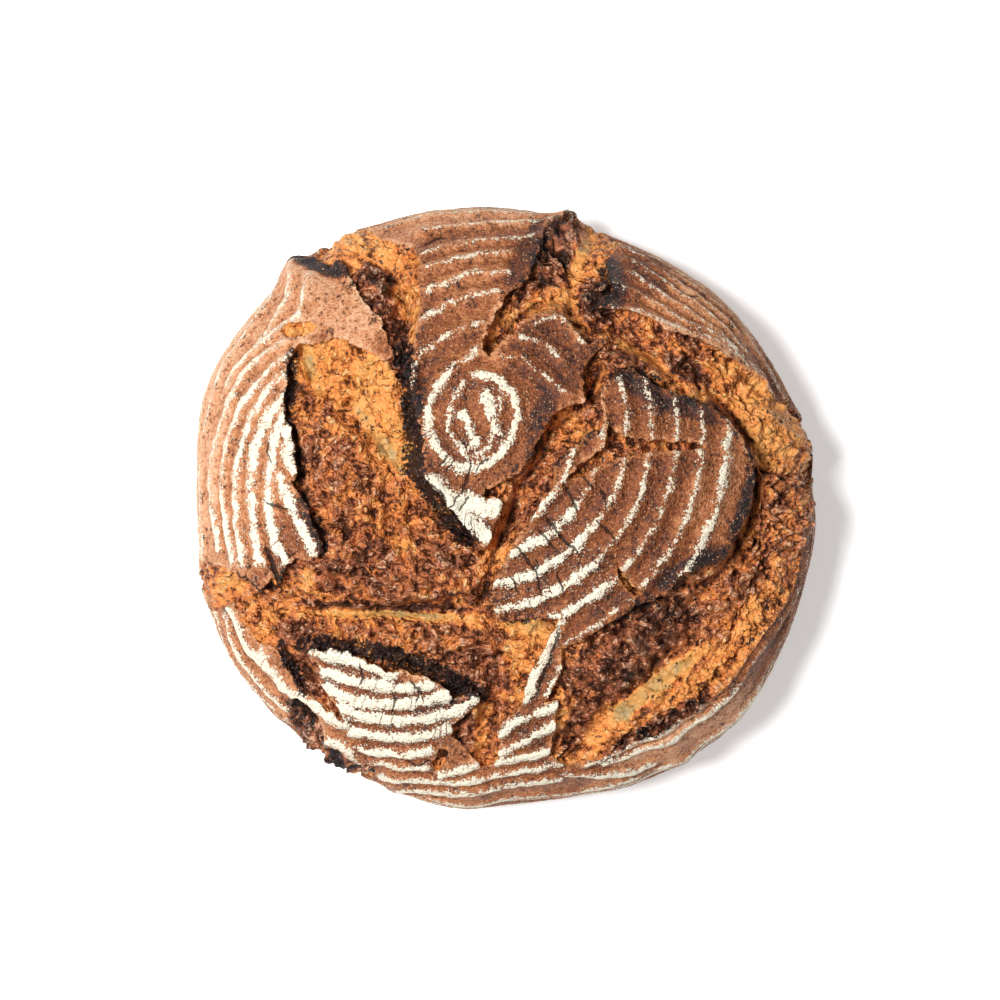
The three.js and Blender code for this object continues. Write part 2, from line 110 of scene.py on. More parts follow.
# ---- The map's lines --------------------------------------------------------------------------------------
RIM = [
    (816, 500), (812, 545), (800, 595), (780, 655), (745, 712), (700, 752), (640, 782), (575, 796),
    (505, 806), (440, 804), (380, 784), (320, 752), (268, 708), (232, 660), (207, 600), (197, 530),
    (197, 470), (203, 400), (226, 350), (262, 303), (310, 258), (365, 228), (430, 212), (500, 207),
    (570, 222), (635, 246), (697, 280), (748, 328), (785, 385), (810, 445),
]  # fmt: skip

# The outline as it is seen from above, ragged at the tears.
SILHOUETTE = [
    (197, 460), (197, 500), (198, 530), (200, 560), (201, 580), (202, 590), (205, 600), (208, 606),
    (214, 612), (218, 625), (222, 640), (228, 655), (233, 664), (240, 674), (250, 686), (260, 697),
    (270, 708), (280, 720), (290, 723), (297, 730), (300, 737), (305, 745), (311, 752), (320, 757),
    (330, 764), (340, 769), (350, 772), (365, 775), (375, 777), (383, 785), (390, 793), (400, 794),
    (410, 796), (420, 800), (440, 805), (460, 809), (470, 810), (480, 808), (500, 802), (520, 800),
    (540, 799), (560, 797), (580, 795), (603, 792), (625, 786), (640, 781), (655, 772), (670, 769),
    (685, 765), (691, 761), (697, 752), (705, 745), (720, 736), (735, 725), (748, 710), (758, 695),
    (765, 680), (772, 665), (780, 650), (787, 635), (793, 620), (799, 605), (803, 590), (806, 575),
    (810, 560), (813, 540), (815, 520), (814, 500), (808, 489), (803, 480), (806, 473), (812, 461),
    (817, 458), (810, 442), (803, 430), (797, 416), (790, 403), (782, 390), (775, 378), (767, 364),
    (760, 352), (754, 340), (747, 330), (740, 320), (730, 309), (720, 301), (710, 293), (700, 285),
    (690, 279), (680, 272), (670, 266), (660, 260), (650, 255), (640, 251), (630, 247), (619, 243),
    (605, 238), (590, 234), (582, 230), (578, 220), (575, 209), (560, 212), (540, 213),
    (520, 211), (500, 209), (465, 209), (440, 210), (420, 213), (400, 219), (380, 226), (370, 229),
    (357, 230), (346, 234), (330, 244), (322, 253), (316, 259), (301, 255), (293, 256), (286, 258),
    (282, 270), (278, 280), (272, 290), (265, 300), (255, 310), (248, 320), (241, 330), (237, 337),
    (226, 350), (218, 362), (212, 375), (205, 392), (201, 410), (199, 425),
]  # fmt: skip
OUTLINE_STEPS = 720  # into which the outline is divided where it is fitted

# Plates of crust, each a closed outline. Points outside the rim lie on the side.
PLATES = {
    "crown": [
        (366, 175), (368, 229), (382, 232), (396, 238), (408, 240), (417, 250), (420, 265), (420, 290),
        (421, 312), (417, 330), (414, 350), (411, 368), (412, 386), (413, 400), (417, 412), (424, 436),
        (426, 447), (422, 458), (421, 470), (430, 481), (447, 503), (466, 526), (476, 537), (484, 546),
        (489, 537), (493, 526), (497, 515), (501, 504), (498, 500), (488, 500), (479, 498), (486, 489),
        (498, 483), (509, 479), (519, 470), (527, 461), (532, 451), (537, 440), (543, 427), (551, 413),
        (562, 407), (576, 403), (583, 400), (582, 388), (580, 376), (585, 364), (590, 356), (604, 343),
        (598, 340), (588, 345), (581, 339), (574, 331), (564, 321), (554, 311), (545, 311), (534, 316),
        (521, 325), (508, 338), (498, 348), (487, 357), (482, 350), (484, 338), (489, 326), (495, 314),
        (503, 302), (510, 291), (520, 287), (526, 278), (532, 264), (538, 252), (540, 240), (542, 231),
        (552, 222), (564, 216), (575, 209), (580, 175),
    ],
    "shell": [
        (553, 467), (562, 456), (572, 447), (585, 437), (598, 432), (604, 422), (602, 405), (603, 390),
        (608, 379), (620, 373), (633, 371), (642, 377), (655, 386), (670, 392), (686, 398), (700, 405),
        (714, 411), (727, 421), (738, 433), (745, 447), (750, 460), (754, 476), (753, 488), (749, 500),
        (746, 512), (739, 525), (731, 539), (722, 557), (708, 563), (693, 569), (680, 576), (671, 586),
        (664, 594), (648, 600), (632, 606), (616, 617), (602, 625), (588, 634), (574, 643), (563, 650),
        (560, 640), (561, 628), (562, 617), (548, 617), (530, 618), (514, 619), (501, 621), (495, 612),
        (490, 598), (492, 584), (499, 572), (505, 561), (512, 550), (518, 540), (524, 528), (532, 516),
        (541, 504), (550, 492), (557, 482), (555, 474),
    ],
    "left": [
        (245, 225), (287, 258), (295, 255), (303, 257), (318, 260), (328, 265), (342, 266), (350, 272),
        (353, 284), (359, 297), (369, 309), (379, 319), (383, 333), (388, 346), (393, 356), (384, 358),
        (373, 353), (362, 348), (350, 342), (336, 338), (322, 341), (310, 345), (300, 344), (293, 351),
        (289, 362), (286, 376), (285, 395), (285, 412), (290, 430), (294, 450), (297, 468), (297, 477),
        (291, 484), (297, 492), (304, 502), (308, 513), (314, 526), (318, 540), (322, 551), (312, 558),
        (298, 557), (288, 563), (283, 572), (279, 585), (272, 575), (268, 580), (263, 590), (255, 586),
        (247, 576), (236, 572), (224, 567), (205, 562), (165, 558), (155, 420), (180, 315), (215, 260),
    ],
    "foot": [
        (172, 618), (213, 612), (228, 606), (236, 619), (245, 631), (256, 645), (268, 646), (277, 652),
        (281, 664), (288, 677), (297, 690), (309, 698), (322, 707), (337, 714), (352, 722), (357, 737),
        (363, 755), (374, 771), (364, 763), (352, 756), (342, 747), (333, 737), (324, 726), (313, 713),
        (303, 702), (296, 696), (289, 700), (287, 712), (285, 728), (272, 768), (200, 715),
    ],
    "flap": [
        (374, 808), (378, 778), (372, 766), (363, 752), (357, 737), (352, 722), (343, 710), (333, 700),
        (325, 688), (320, 680), (321, 668), (314, 658), (308, 650), (322, 650), (338, 650), (350, 653),
        (362, 660), (376, 666), (388, 671), (400, 669), (412, 674), (427, 676), (440, 684), (450, 692),
        (452, 700), (462, 695), (478, 692), (480, 698), (473, 707), (461, 716), (451, 724), (449, 735),
        (458, 741), (466, 751), (474, 760), (482, 768), (494, 768), (498, 758), (501, 748), (502, 740),
        (497, 733), (503, 722), (512, 714), (521, 707), (525, 700), (525, 688), (531, 673), (540, 655),
        (549, 642), (556, 630), (561, 615), (564, 622), (559, 637), (560, 655), (560, 668), (554, 682),
        (547, 695), (541, 706), (560, 699), (554, 713), (553, 728), (551, 742), (549, 754), (558, 763),
        (570, 769), (585, 765), (600, 760), (616, 755), (634, 746), (655, 736), (675, 726), (693, 716),
        (709, 703), (723, 690), (738, 673), (752, 657), (764, 640), (775, 622), (786, 605), (795, 588),
        (802, 572), (805, 555), (807, 540), (809, 522), (813, 508), (850, 500), (840, 620), (750, 785),
        (600, 842), (430, 845),
    ],
    "shoulder": [
        (640, 195), (628, 225), (619, 243), (612, 253), (610, 266), (612, 280), (614, 291), (602, 299),
        (597, 308), (622, 308), (638, 313), (652, 319), (664, 328), (680, 333), (696, 338), (711, 343),
        (726, 351), (741, 360), (756, 369), (767, 378), (774, 388), (781, 397), (805, 392), (830, 380),
        (810, 325), (720, 235),
    ],
}  # fmt: skip

# Shallow scrapes in the plates, where the crust is torn off.
SCRAPES = [
    [(566, 478), (575, 466), (588, 458), (600, 447), (605, 430), (606, 421), (616, 431), (632, 437),
     (652, 439), (672, 441), (688, 441), (700, 443), (707, 449), (690, 452), (675, 451), (655, 453),
     (638, 455), (620, 459), (605, 463), (592, 469), (580, 478)],
    [(279, 331), (285, 325), (293, 321), (301, 319), (309, 321), (319, 325), (312, 333), (304, 337),
     (294, 337), (285, 336)],
    [(611, 560), (617, 563), (624, 573), (632, 584), (643, 594), (636, 597), (626, 591), (617, 580)],
    [(446, 744), (450, 752), (447, 762), (441, 772), (434, 773), (431, 765), (434, 757), (438, 748)],
]  # fmt: skip

# Creases, the deepest lines of the tears: (x, y, depth in mm).
CREASES = [
    [(300, 350, 6), (312, 375, 9), (330, 395, 8), (352, 412, 8), (375, 435, 9), (397, 462, 10),
     (408, 492, 11), (428, 516, 11), (468, 536, 6)],
    [(195, 590, 3), (250, 598, 6), (285, 605, 7), (320, 614, 9), (355, 614, 11), (405, 611, 11),
     (450, 607, 10), (482, 616, 8), (500, 645, 8), (500, 690, 8), (491, 735, 7), (487, 762, 3)],
    [(574, 764, 4), (590, 735, 8), (612, 708, 11), (645, 683, 12), (680, 655, 12), (712, 625, 11),
     (745, 598, 9), (785, 568, 5), (812, 548, 2)],
    [(757, 468, 8), (756, 500, 9), (746, 535, 10), (725, 570, 11), (690, 612, 12)],
    [(612, 315, 8), (640, 345, 10), (665, 366, 9), (700, 372, 10), (712, 392, 10), (738, 420, 9),
     (757, 448, 9), (780, 456, 8), (815, 472, 4)],
    [(600, 366, 6), (590, 395, 8), (572, 415, 9), (548, 434, 7), (543, 455, 7), (520, 487, 9),
     (507, 522, 9), (492, 560, 8), (482, 604, 7)],
    [(592, 222, 3), (582, 250, 7), (571, 285, 9), (570, 322, 8), (592, 332, 6), (612, 315, 8)],
    [(566, 296, 8), (532, 306, 9), (508, 332, 8), (488, 354, 3)],
    [(318, 250, 2), (358, 250, 3), (385, 262, 5), (400, 290, 9), (408, 312, 9), (405, 340, 6),
     (402, 368, 4)],
    [(250, 602, 5), (292, 640, 5), (303, 668, 7), (325, 695, 6), (346, 716, 5), (360, 745, 4),
     (376, 776, 3)],
    [(291, 700, 3), (300, 722, 8), (322, 745, 8), (345, 763, 6), (372, 778, 3)],
]  # fmt: skip

# Lumps of crumb that stand between the plates: place, half length and width, turn in degrees, rise.
MOUNDS = [
    ((345, 470), (78, 34), 62, 7),
    ((395, 565), (95, 34), 4, 7.5),
    ((430, 640), (70, 18), 8, 3),
    ((375, 290), (34, 15), 60, 4),
    ((600, 300), (24, 14), -55, 4),
    ((625, 362), (38, 12), 15, 3.5),
    ((675, 358), (15, 10), -50, 4),
    ((770, 425), (40, 22), 50, 4),
    ((790, 505), (42, 26), 80, 5),
    ((625, 655), (48, 24), -32, 4),
    ((530, 660), (36, 12), -58, 2.5),
]

# Where the dome and its plates bulge or curl up: place, reach and rise.
BULGES = [
    ((480, 425), 95, 4.5),
    ((428, 478), 42, 4.5),
    ((640, 500), 95, 6),
    ((395, 672), 60, 4),
    ((567, 214), 22, 5),
    ((296, 262), 26, 4),
    ((290, 470), 60, 2.5),
    ((500, 290), 50, 2),
]
BULGE_IN_CRUMB = 0.45  # the share of a bulge that the torn crumb follows

# Edges of plates that curl up: a line along each, how far in the curl reaches, in map units, and its rise.
CURLS = [
    ([(575, 209), (542, 231), (532, 264), (510, 291), (487, 340)], 16, 1.5),
    ([(414, 340), (412, 400), (426, 447), (421, 470), (456, 514), (484, 546)], 18, 1.8),
    ([(754, 476), (739, 525), (708, 563), (664, 594), (616, 617)], 18, 1.4),
    ([(620, 373), (700, 405), (745, 447)], 14, 1.2),
    ([(495, 612), (512, 550), (550, 492)], 14, 1),
    ([(308, 650), (350, 653), (400, 669), (450, 692), (480, 698)], 20, 2),
    ([(300, 345), (285, 395), (297, 470), (318, 545)], 18, 1.8),
    ([(287, 258), (318, 260), (345, 268)], 14, 1.4),
    ([(600, 305), (664, 328), (767, 378)], 14, 1.2),
    ([(256, 586), (290, 560), (318, 553)], 12, 1.4),
]

# Shelves in the crumb: each line has its raised side on its right; their step and reach in mm.
SHELVES = [
    ([(482, 590), (440, 603), (400, 603), (360, 608), (325, 605), (300, 590), (280, 583)], 4, 6),
    ([(815, 455), (800, 442), (785, 446), (762, 457), (748, 448)], 2, 5),
    ([(757, 478), (775, 474), (800, 480), (812, 484)], 2, 6),
    ([(606, 305), (598, 290), (600, 265), (612, 250)], 1.5, 5),
    ([(388, 262), (386, 280), (395, 300), (400, 320)], 1.5, 5),
    ([(662, 362), (650, 348), (637, 333), (622, 322)], 1.5, 4),
    ([(748, 403), (763, 393), (780, 392)], 1.5, 5),
    ([(722, 600), (690, 620), (660, 650), (640, 680), (610, 705), (590, 715)], 1.5, 6),
    ([(388, 500), (382, 515), (384, 535), (392, 548)], 1, 3),
]

# Holes in the crumb: place, half length and width in map units, turn in degrees, and depth.
HOLES = [
    ((398, 525), (17, 24), -20, 2.2),
    ((405, 520), (5, 4), 0, 2.5),
    ((327, 430), (7, 10), -25, 1.8),
    ((372, 251), (5, 8), 30, 3),
    ((405, 241), (6, 5), 0, 2),
    ((316, 390), (7, 6), 0, 2),
    ((347, 403), (6, 5), 0, 3.5),
    ((738, 630), (6, 4), -40, 2.5),
    ((748, 617), (4, 3), 0, 2),
    ((797, 505), (5, 6), 0, 2),
    ((332, 475), (5, 7), -30, 1.6),
    ((308, 385), (6, 14), 10, 1.8),
]

# Cracks through the crust, with their half width and depth in mm.
CRACKS = [
    ([(267, 546), (271, 560), (276, 572), (281, 588)], 1.1, 3.5),
    ([(270, 440), (268, 452), (273, 465)], 0.4, 0.6),
    ([(423, 246), (430, 238), (438, 234), (448, 236)], 0.6, 1.2),
    ([(463, 495), (466, 478), (472, 462)], 0.5, 1.2),
    ([(450, 506), (458, 496), (468, 492)], 0.4, 0.8),
    ([(440, 466), (444, 460), (448, 455)], 0.35, 0.6),
    ([(447, 472), (452, 464), (456, 459)], 0.35, 0.6),
    ([(478, 470), (482, 464), (490, 458)], 0.35, 0.6),
    ([(433, 484), (442, 492), (446, 503)], 0.35, 0.6),
    ([(458, 512), (466, 504), (470, 496)], 0.35, 0.6),
    ([(563, 480), (568, 494), (576, 512)], 0.55, 1.2),
    ([(545, 516), (558, 534), (577, 552)], 0.55, 1.2),
    ([(539, 529), (547, 540), (555, 548)], 0.45, 1),
    ([(516, 545), (524, 556), (536, 572)], 0.5, 1.2),
    ([(535, 558), (537, 574), (541, 592)], 0.5, 1.2),
    ([(594, 518), (604, 528), (616, 541)], 0.45, 1),
    ([(580, 470), (584, 480), (592, 488)], 0.4, 0.8),
    ([(600, 488), (606, 500), (604, 512)], 0.35, 0.6),
    ([(508, 575), (516, 584), (520, 594)], 0.4, 0.8),
    ([(556, 572), (562, 584), (564, 596)], 0.35, 0.6),
    ([(563, 620), (553, 648), (542, 680), (532, 702)], 0.5, 1.2),
    ([(683, 291), (692, 290), (701, 294)], 0.4, 0.8),
    ([(286, 552), (292, 556), (297, 551)], 0.35, 0.6),
    ([(262, 500), (276, 504), (292, 512)], 0.35, 0.5),
    ([(412, 676), (420, 690), (417, 702)], 0.4, 0.8),
    ([(396, 757), (420, 765), (432, 760)], 0.4, 0.8),
    ([(360, 664), (364, 676), (360, 686)], 0.3, 0.5),
    ([(392, 690), (396, 702), (392, 714)], 0.3, 0.5),
]

# ---- The flour rings, one list for each plate, and how much wider than the rest a line is, in mm ----------
RINGS = [
    # the spiral
    (1.3, [(485, 395), (488, 404), (490, 413)]),
    (0, [(490, 413), (494, 423), (498, 433)]),
    (1, [(474, 443), (474, 440)]),
    (0, [(474, 440), (469, 428), (463, 413)]),
    (-0.5, [(465, 382), (453, 400), (447, 425), (457, 445), (470, 458)]),
    (-0.5, [(497, 380), (501, 400), (498, 425), (488, 446), (478, 455)]),
    (0.3, [(478, 375), (495, 377), (512, 393), (518, 410), (515, 432), (501, 453), (481, 468), (460, 468),
           (446, 460), (435, 446), (429, 428), (430, 405), (438, 385), (457, 363), (476, 350)]),
    (1.0, [(432, 478), (452, 494), (478, 510)]),
    (1.3, [(450, 500), (470, 520), (486, 535)]),
    (1.0, [(474, 500), (486, 512), (496, 506)]),
    (0, [(500, 357), (518, 355), (534, 366), (550, 380), (568, 395)]),
    (0, [(522, 338), (540, 342), (562, 360)]),
    (0, [(535, 323), (556, 316), (570, 328), (583, 342)]),
    # the tongue above it
    (0, [(412, 386), (414, 368), (420, 355), (440, 340), (462, 328), (480, 323)]),
    (0, [(424, 318), (450, 303), (475, 295), (500, 292)]),
    (0, [(428, 291), (450, 280), (475, 273), (508, 272)]),
    (0, [(428, 267), (455, 259), (485, 254), (512, 252)]),
    (0, [(425, 252), (465, 242), (500, 239), (535, 235)]),
    (0, [(420, 230), (450, 225), (482, 222), (550, 222)]),
    # the left plate
    (0, [(313, 275), (309, 287), (301, 303), (297, 314), (284, 325), (268, 335), (250, 350)]),
    (0, [(299, 268), (294, 280), (287, 297), (276, 313), (268, 328), (256, 342), (243, 356), (226, 384)]),
    (0, [(282, 275), (275, 290), (262, 308), (250, 322), (236, 342), (220, 372), (210, 400), (203, 430)]),
    (0, [(284, 341), (268, 349), (252, 361), (242, 375), (233, 392), (224, 412), (217, 432), (212, 452),
         (209, 480), (210, 510), (216, 548)]),
    (0, [(291, 353), (276, 363), (262, 377), (250, 393), (242, 404), (233, 424), (226, 445), (222, 470),
         (222, 500), (225, 530), (232, 560)]),
    (0, [(283, 375), (272, 384), (263, 398), (256, 411), (247, 430), (240, 452), (236, 474), (235, 500),
         (237, 530), (242, 562)]),
    (0.3, [(284, 396), (272, 411), (263, 428), (256, 450), (252, 474), (252, 500), (255, 530), (259, 562)]),
    (0.5, [(284, 414), (278, 432), (274, 450), (273, 462), (270, 478), (268, 500), (271, 525), (276, 545),
           (287, 560)]),
    (0.8, [(287, 432), (289, 450), (292, 470)]),
    (0.5, [(281, 478), (288, 500), (298, 520), (308, 540), (314, 551)]),
    # the flap
    (0.6, [(308, 651), (324, 654), (340, 657), (356, 661), (370, 665), (392, 672)]),
    (0.5, [(320, 670), (345, 678), (370, 683), (400, 687), (430, 684)]),
    (0.5, [(328, 688), (345, 697), (370, 702), (400, 704), (430, 700), (448, 694)]),
    (0.4, [(342, 706), (360, 714), (382, 719), (405, 720), (430, 717), (450, 712), (465, 705), (478, 697)]),
    (0.2, [(356, 729), (380, 735), (405, 737), (430, 734), (450, 726)]),
    (0.1, [(363, 747), (380, 752), (405, 754), (430, 751)]),
    (0.3, [(372, 762), (400, 766), (425, 768)]),
    (0.5, [(443, 776), (460, 770), (480, 762)]),
    (0.5, [(378, 777), (400, 779), (430, 782), (450, 783), (480, 780), (510, 777), (540, 771), (560, 764)]),
    (0.3, [(388, 788), (410, 791), (440, 794), (470, 794), (500, 792), (530, 788), (560, 781)]),
    # the tail
    (1, [(527, 697), (531, 684), (537, 671), (545, 655), (553, 640), (561, 622)]),
    (0, [(561, 655), (558, 672), (552, 686), (545, 695)]),
    (0.4, [(500, 736), (512, 723), (527, 717), (542, 712), (560, 702)]),
    (0.4, [(500, 755), (514, 746), (530, 738), (552, 726)]),
    (0.4, [(497, 764), (512, 760), (530, 757), (550, 751)]),
    (0.3, [(566, 776), (590, 777), (615, 778), (640, 775), (655, 768)]),
    # the band along the right
    (-0.1, [(585, 767), (600, 761), (620, 752), (650, 738), (680, 722), (700, 707), (716, 692), (735, 672),
           (752, 651), (770, 625), (785, 603), (797, 578)]),
    (-0.3, [(605, 765), (630, 759), (655, 748), (682, 735), (706, 717), (728, 697), (750, 670), (770, 642),
         (788, 612), (802, 582), (809, 550)]),
    # the foot at the lower left
    (0.9, [(226, 608), (236, 628), (245, 645), (262, 665), (285, 690), (310, 706), (345, 718)]),
    (1.4, [(262, 655), (270, 672), (281, 688)]),
    (0.1, [(221, 618), (229, 640), (240, 660), (262, 690), (285, 712)]),
    (0, [(212, 613), (217, 632), (226, 652), (245, 682), (270, 708)]),
    (0.2, [(335, 735), (344, 740), (352, 748), (360, 760)]),
    # the shoulder at the upper right
    (-0.2, [(612, 307), (640, 311), (665, 322), (690, 332), (712, 338), (735, 350), (755, 364), (777, 390)]),
    (-0.2, [(618, 283), (640, 293), (658, 302), (680, 318), (715, 333), (745, 352), (770, 374)]),
    (-0.3, [(632, 268), (645, 278), (660, 290), (685, 305), (715, 328), (745, 352)]),
    (-0.3, [(630, 254), (645, 263), (668, 278), (700, 302), (727, 328), (750, 350)]),
    (-0.3, [(655, 261), (672, 271), (692, 286), (715, 305), (740, 330)]),
]  # fmt: skip

# The shell's rings are arcs round one middle.
SHELL_MIDDLE = (470, 430)
SHELL_RADII = (105, 130, 156, 181, 206, 232, 257)
SHELL_ARC = (-20, 85)  # degrees on the map, from its X towards its Y
SIDE_RINGS_START = -8  # below the rim, in mm
SIDE_RING_PITCH = 9.2  # from one ring to the next down the side
RING_GAP = 6  # the side's rings end this near to the drawn ones
RING_MIDDLE = (-10.8, 37.1, 0)  # of the basket's rings, in mm from the loaf's middle
RING_PITCH = 9.8
CRACK_PITCH = 5.5

# ---- Tones, painted in this order: a patch's place, half length and width, turn in degrees, and value -----
BAKED = 0.5
BAKE_PATCHES = [  # of the crust: 0 pale, 0.5 brown, 0.85 purple-brown
    # the next two patches pale the crust along the left side: partly paler crust, partly a painted highlight
    # on the side that the key light falls on
    ((235, 450), (60, 190), 12, 0.22),
    ((205, 430), (26, 190), 8, 0.1),
    ((290, 300), (40, 60), 35, 0.14),
    ((350, 310), (32, 40), -40, 0.12),
    ((300, 330), (26, 10), -10, 0.25),
    ((320, 264), (44, 8), 8, 0.9),
    ((470, 212), (110, 15), 0, 0.22),
    ((395, 232), (28, 12), 10, 0.3),
    ((470, 275), (45, 45), 0, 0.4),
    ((523, 265), (13, 50), 20, 0.72),
    ((555, 355), (40, 45), -45, 0.6),
    ((475, 420), (52, 60), 0, 0.5),
    ((540, 430), (12, 45), 15, 0.75),
    ((620, 520), (120, 75), -35, 0.54),
    ((725, 480), (30, 70), 20, 0.38),
    ((750, 500), (12, 60), 20, 0.9),
    ((670, 400), (60, 12), 22, 0.82),
    ((680, 575), (60, 12), -30, 0.85),
    ((610, 620), (60, 16), -33, 0.66),
    ((690, 300), (90, 35), 38, 0.3),
    ((720, 262), (100, 26), 42, 0.2),
    ((640, 270), (30, 28), 30, 0.6),
    ((614, 285), (12, 34), 5, 0.88),
    ((385, 700), (75, 38), 14, 0.5),
    ((440, 770), (90, 25), 5, 0.38),
    ((470, 805), (110, 12), 0, 0.35),
    ((545, 690), (22, 70), 22, 0.56),
    ((690, 745), (110, 26), -32, 0.16),
    ((790, 600), (28, 90), 25, 0.55),
    ((655, 775), (90, 14), -20, 0.24),
    ((250, 665), (30, 75), -38, 0.3),
    ((330, 735), (30, 22), 30, 0.32),
]
TOASTED = 0.4
TOAST_PATCHES = [  # of the crumb: 0 pale, 0.4 orange, 0.7 red-brown, 1 nearly black
    ((340, 470), (58, 130), -22, 0.5),
    ((325, 500), (30, 70), -10, 0.56),
    ((372, 430), (26, 60), -32, 0.35),
    ((395, 570), (105, 34), 4, 0.64),
    ((455, 595), (36, 24), 20, 0.5),
    ((345, 370), (58, 34), 22, 0.3),
    ((388, 425), (17, 58), -28, 0.26),
    ((312, 374), (7, 24), -18, 0.08),
    ((378, 438), (6, 46), -36, 0.06),
    ((400, 525), (18, 30), -15, 0.42),
    ((290, 575), (24, 14), 0, 0.45),
    ((345, 250), (40, 26), -10, 0.3),
    ((400, 290), (20, 60), -5, 0.34),
    ((374, 280), (17, 26), -20, 0.88),
    ((372, 305), (14, 20), -20, 0.72),
    ((395, 340), (12, 40), -10, 0.62),
    ((550, 265), (30, 60), 25, 0.78),
    ((588, 262), (17, 40), 15, 0.34),
    ((585, 245), (7, 26), 20, 0.16),
    ((545, 300), (30, 14), -25, 0.36),
    ((505, 335), (14, 26), 35, 0.42),
    ((596, 302), (17, 30), -10, 0.85),
    ((625, 350), (45, 28), 25, 0.58),
    ((650, 358), (42, 6), 28, 0.22),
    ((700, 360), (60, 16), 32, 0.56),
    ((690, 372), (30, 10), 28, 0.76),
    ((745, 395), (50, 26), 42, 0.3),
    ((780, 425), (42, 30), 40, 0.24),
    ((782, 462), (34, 9), 8, 0.18),
    ((785, 515), (36, 60), 12, 0.52),
    ((735, 440), (14, 40), -25, 0.62),
    ((635, 650), (80, 38), -38, 0.75),
    ((735, 580), (45, 50), 30, 0.55),
    ((725, 650), (95, 24), -38, 0.33),
    ((690, 655), (80, 14), -38, 0.46),
    ((650, 692), (75, 9), -38, 0.08),
    ((665, 728), (60, 9), -27, 0.84),
    ((600, 728), (12, 24), 25, 0.24),
    ((580, 715), (12, 45), 18, 0.62),
    ((530, 660), (26, 60), 20, 0.34),
    ((525, 625), (20, 10), 0, 0.18),
    ((500, 720), (12, 60), 8, 0.48),
    ((470, 660), (30, 30), 30, 0.72),
    ((465, 728), (10, 20), 0, 0.78),
    # a painted shadow: the next patch is a dark line just under the brown shelf's overhanging edge
    ((385, 607), (95, 4), 2, 0.85),
    ((390, 616), (95, 5), 2, 0.14),
    ((420, 635), (80, 14), 6, 0.52),
    ((240, 600), (55, 30), 15, 0.42),
    ((300, 635), (30, 14), 10, 0.68),
    ((300, 670), (16, 40), -30, 0.72),
    ((325, 740), (50, 20), 40, 0.84),
    ((590, 400), (20, 34), 30, 0.52),
    ((560, 430), (22, 16), -35, 0.4),
    ((530, 480), (20, 50), 28, 0.54),
    ((500, 540), (12, 40), 22, 0.44),
    ((650, 447), (70, 12), 5, 0.48),
    ((300, 330), (24, 12), 0, 0.34),
]
FLOURED = 0.35
FLOUR_PATCHES = [  # how wide and how white the rings are
    ((235, 420), (60, 190), 12, 0.5),
    ((275, 470), (45, 110), -5, 0.9),
    ((255, 540), (60, 50), 0, 1),
    ((345, 310), (38, 50), -35, 0.6),
    ((470, 265), (70, 70), 0, 0.36),
    ((475, 420), (55, 55), 0, 0.75),
    ((462, 505), (36, 36), 40, 1),
    ((555, 355), (45, 45), -40, 0.3),
    ((545, 560), (65, 70), -35, 1.05),
    ((650, 520), (60, 80), 10, 0.45),
    ((730, 490), (30, 80), 20, 0.85),
    ((650, 405), (50, 26), 20, 0.4),
    ((610, 620), (60, 16), -33, 0.2),
    ((690, 300), (110, 45), 38, 0.3),
    ((390, 700), (90, 60), 10, 1.2),
    ((450, 785), (120, 26), 0, 0.8),
    ((530, 725), (35, 60), 20, 0.9),
    ((680, 745), (120, 35), -30, 0.95),
    ((790, 600), (28, 90), 25, 0.25),
    ((255, 660), (40, 85), -38, 0.8),
]
# Burnt lines: a line, its reach in map units and how black it is.
CHARRED = [
    ([(403, 352), (411, 388), (413, 430), (415, 470), (440, 506), (470, 536)], 13, 1.1),
    ([(300, 646), (330, 642), (380, 652), (430, 668), (482, 694)], 11, 1.1),
    ([(292, 352), (290, 380), (289, 412), (294, 450), (300, 480)], 8, 0.95),
    ([(303, 498), (312, 520), (322, 548)], 8, 0.95),
    ([(287, 257), (318, 261), (345, 270), (353, 290)], 7, 0.75),
    ([(232, 574), (262, 588), (280, 584), (285, 570)], 5, 0.8),
    ([(278, 645), (288, 670), (300, 692)], 7, 0.95),
    ([(288, 706), (300, 724), (318, 742), (345, 766), (370, 777)], 8, 0.95),
    ([(610, 750), (640, 738), (680, 718), (708, 698)], 8, 0.5),
    ([(730, 673), (752, 650), (775, 616), (790, 590)], 4, 0.4),
    ([(606, 380), (620, 373), (640, 374), (680, 394), (720, 412), (745, 445), (755, 485), (738, 525),
      (722, 556), (690, 570), (660, 597), (620, 616)], 8, 0.6),
    ([(612, 252), (608, 270), (612, 292), (600, 303)], 8, 0.85),
    ([(603, 343), (590, 360), (583, 385)], 7, 0.6),
    ([(545, 420), (535, 450), (505, 480)], 6, 0.5),
    ([(575, 210), (556, 225), (540, 245), (528, 275), (505, 300)], 5, 0.55),
    ([(492, 590), (495, 612), (510, 622), (550, 618)], 5, 0.6),
    ([(452, 700), (470, 704), (480, 696)], 6, 0.8),
    ([(553, 467), (572, 447), (600, 432)], 5, 0.5),
    ([(505, 620), (480, 600), (440, 590)], 8, 0.35),
]  # fmt: skip


# ---- Numbers and noise ------------------------------------------------------------------------------------
def smooth(t):
    t = np.clip(t, 0, 1)
    return t * t * (3 - 2 * t)


def mix(a, b, t):
    return a + (b - a) * t


def hump(t):
    """1 at 0, falling smoothly to 0 at -1 and 1."""
    return np.clip(1 - t * t, 0, None) ** 2


def lumps(places, pitch, seed):
    """Noise between about -1 and 1 at places in mm, with lumps about a pitch apart."""
    return np.array([noise.noise(p) for p in (places / pitch + seed * 31.7).tolist()])


def cells(places, pitch, seed):
    """How far each place is from the nearest of points scattered about a pitch apart, and a number between
    about -1 and 1 for that point."""
    found = [noise.voronoi(p) for p in (places / pitch + seed * 31.7).tolist()]
    return np.array([d[0] for d, _ in found]), np.array([noise.noise(p[0] * 1.7) for _, p in found])


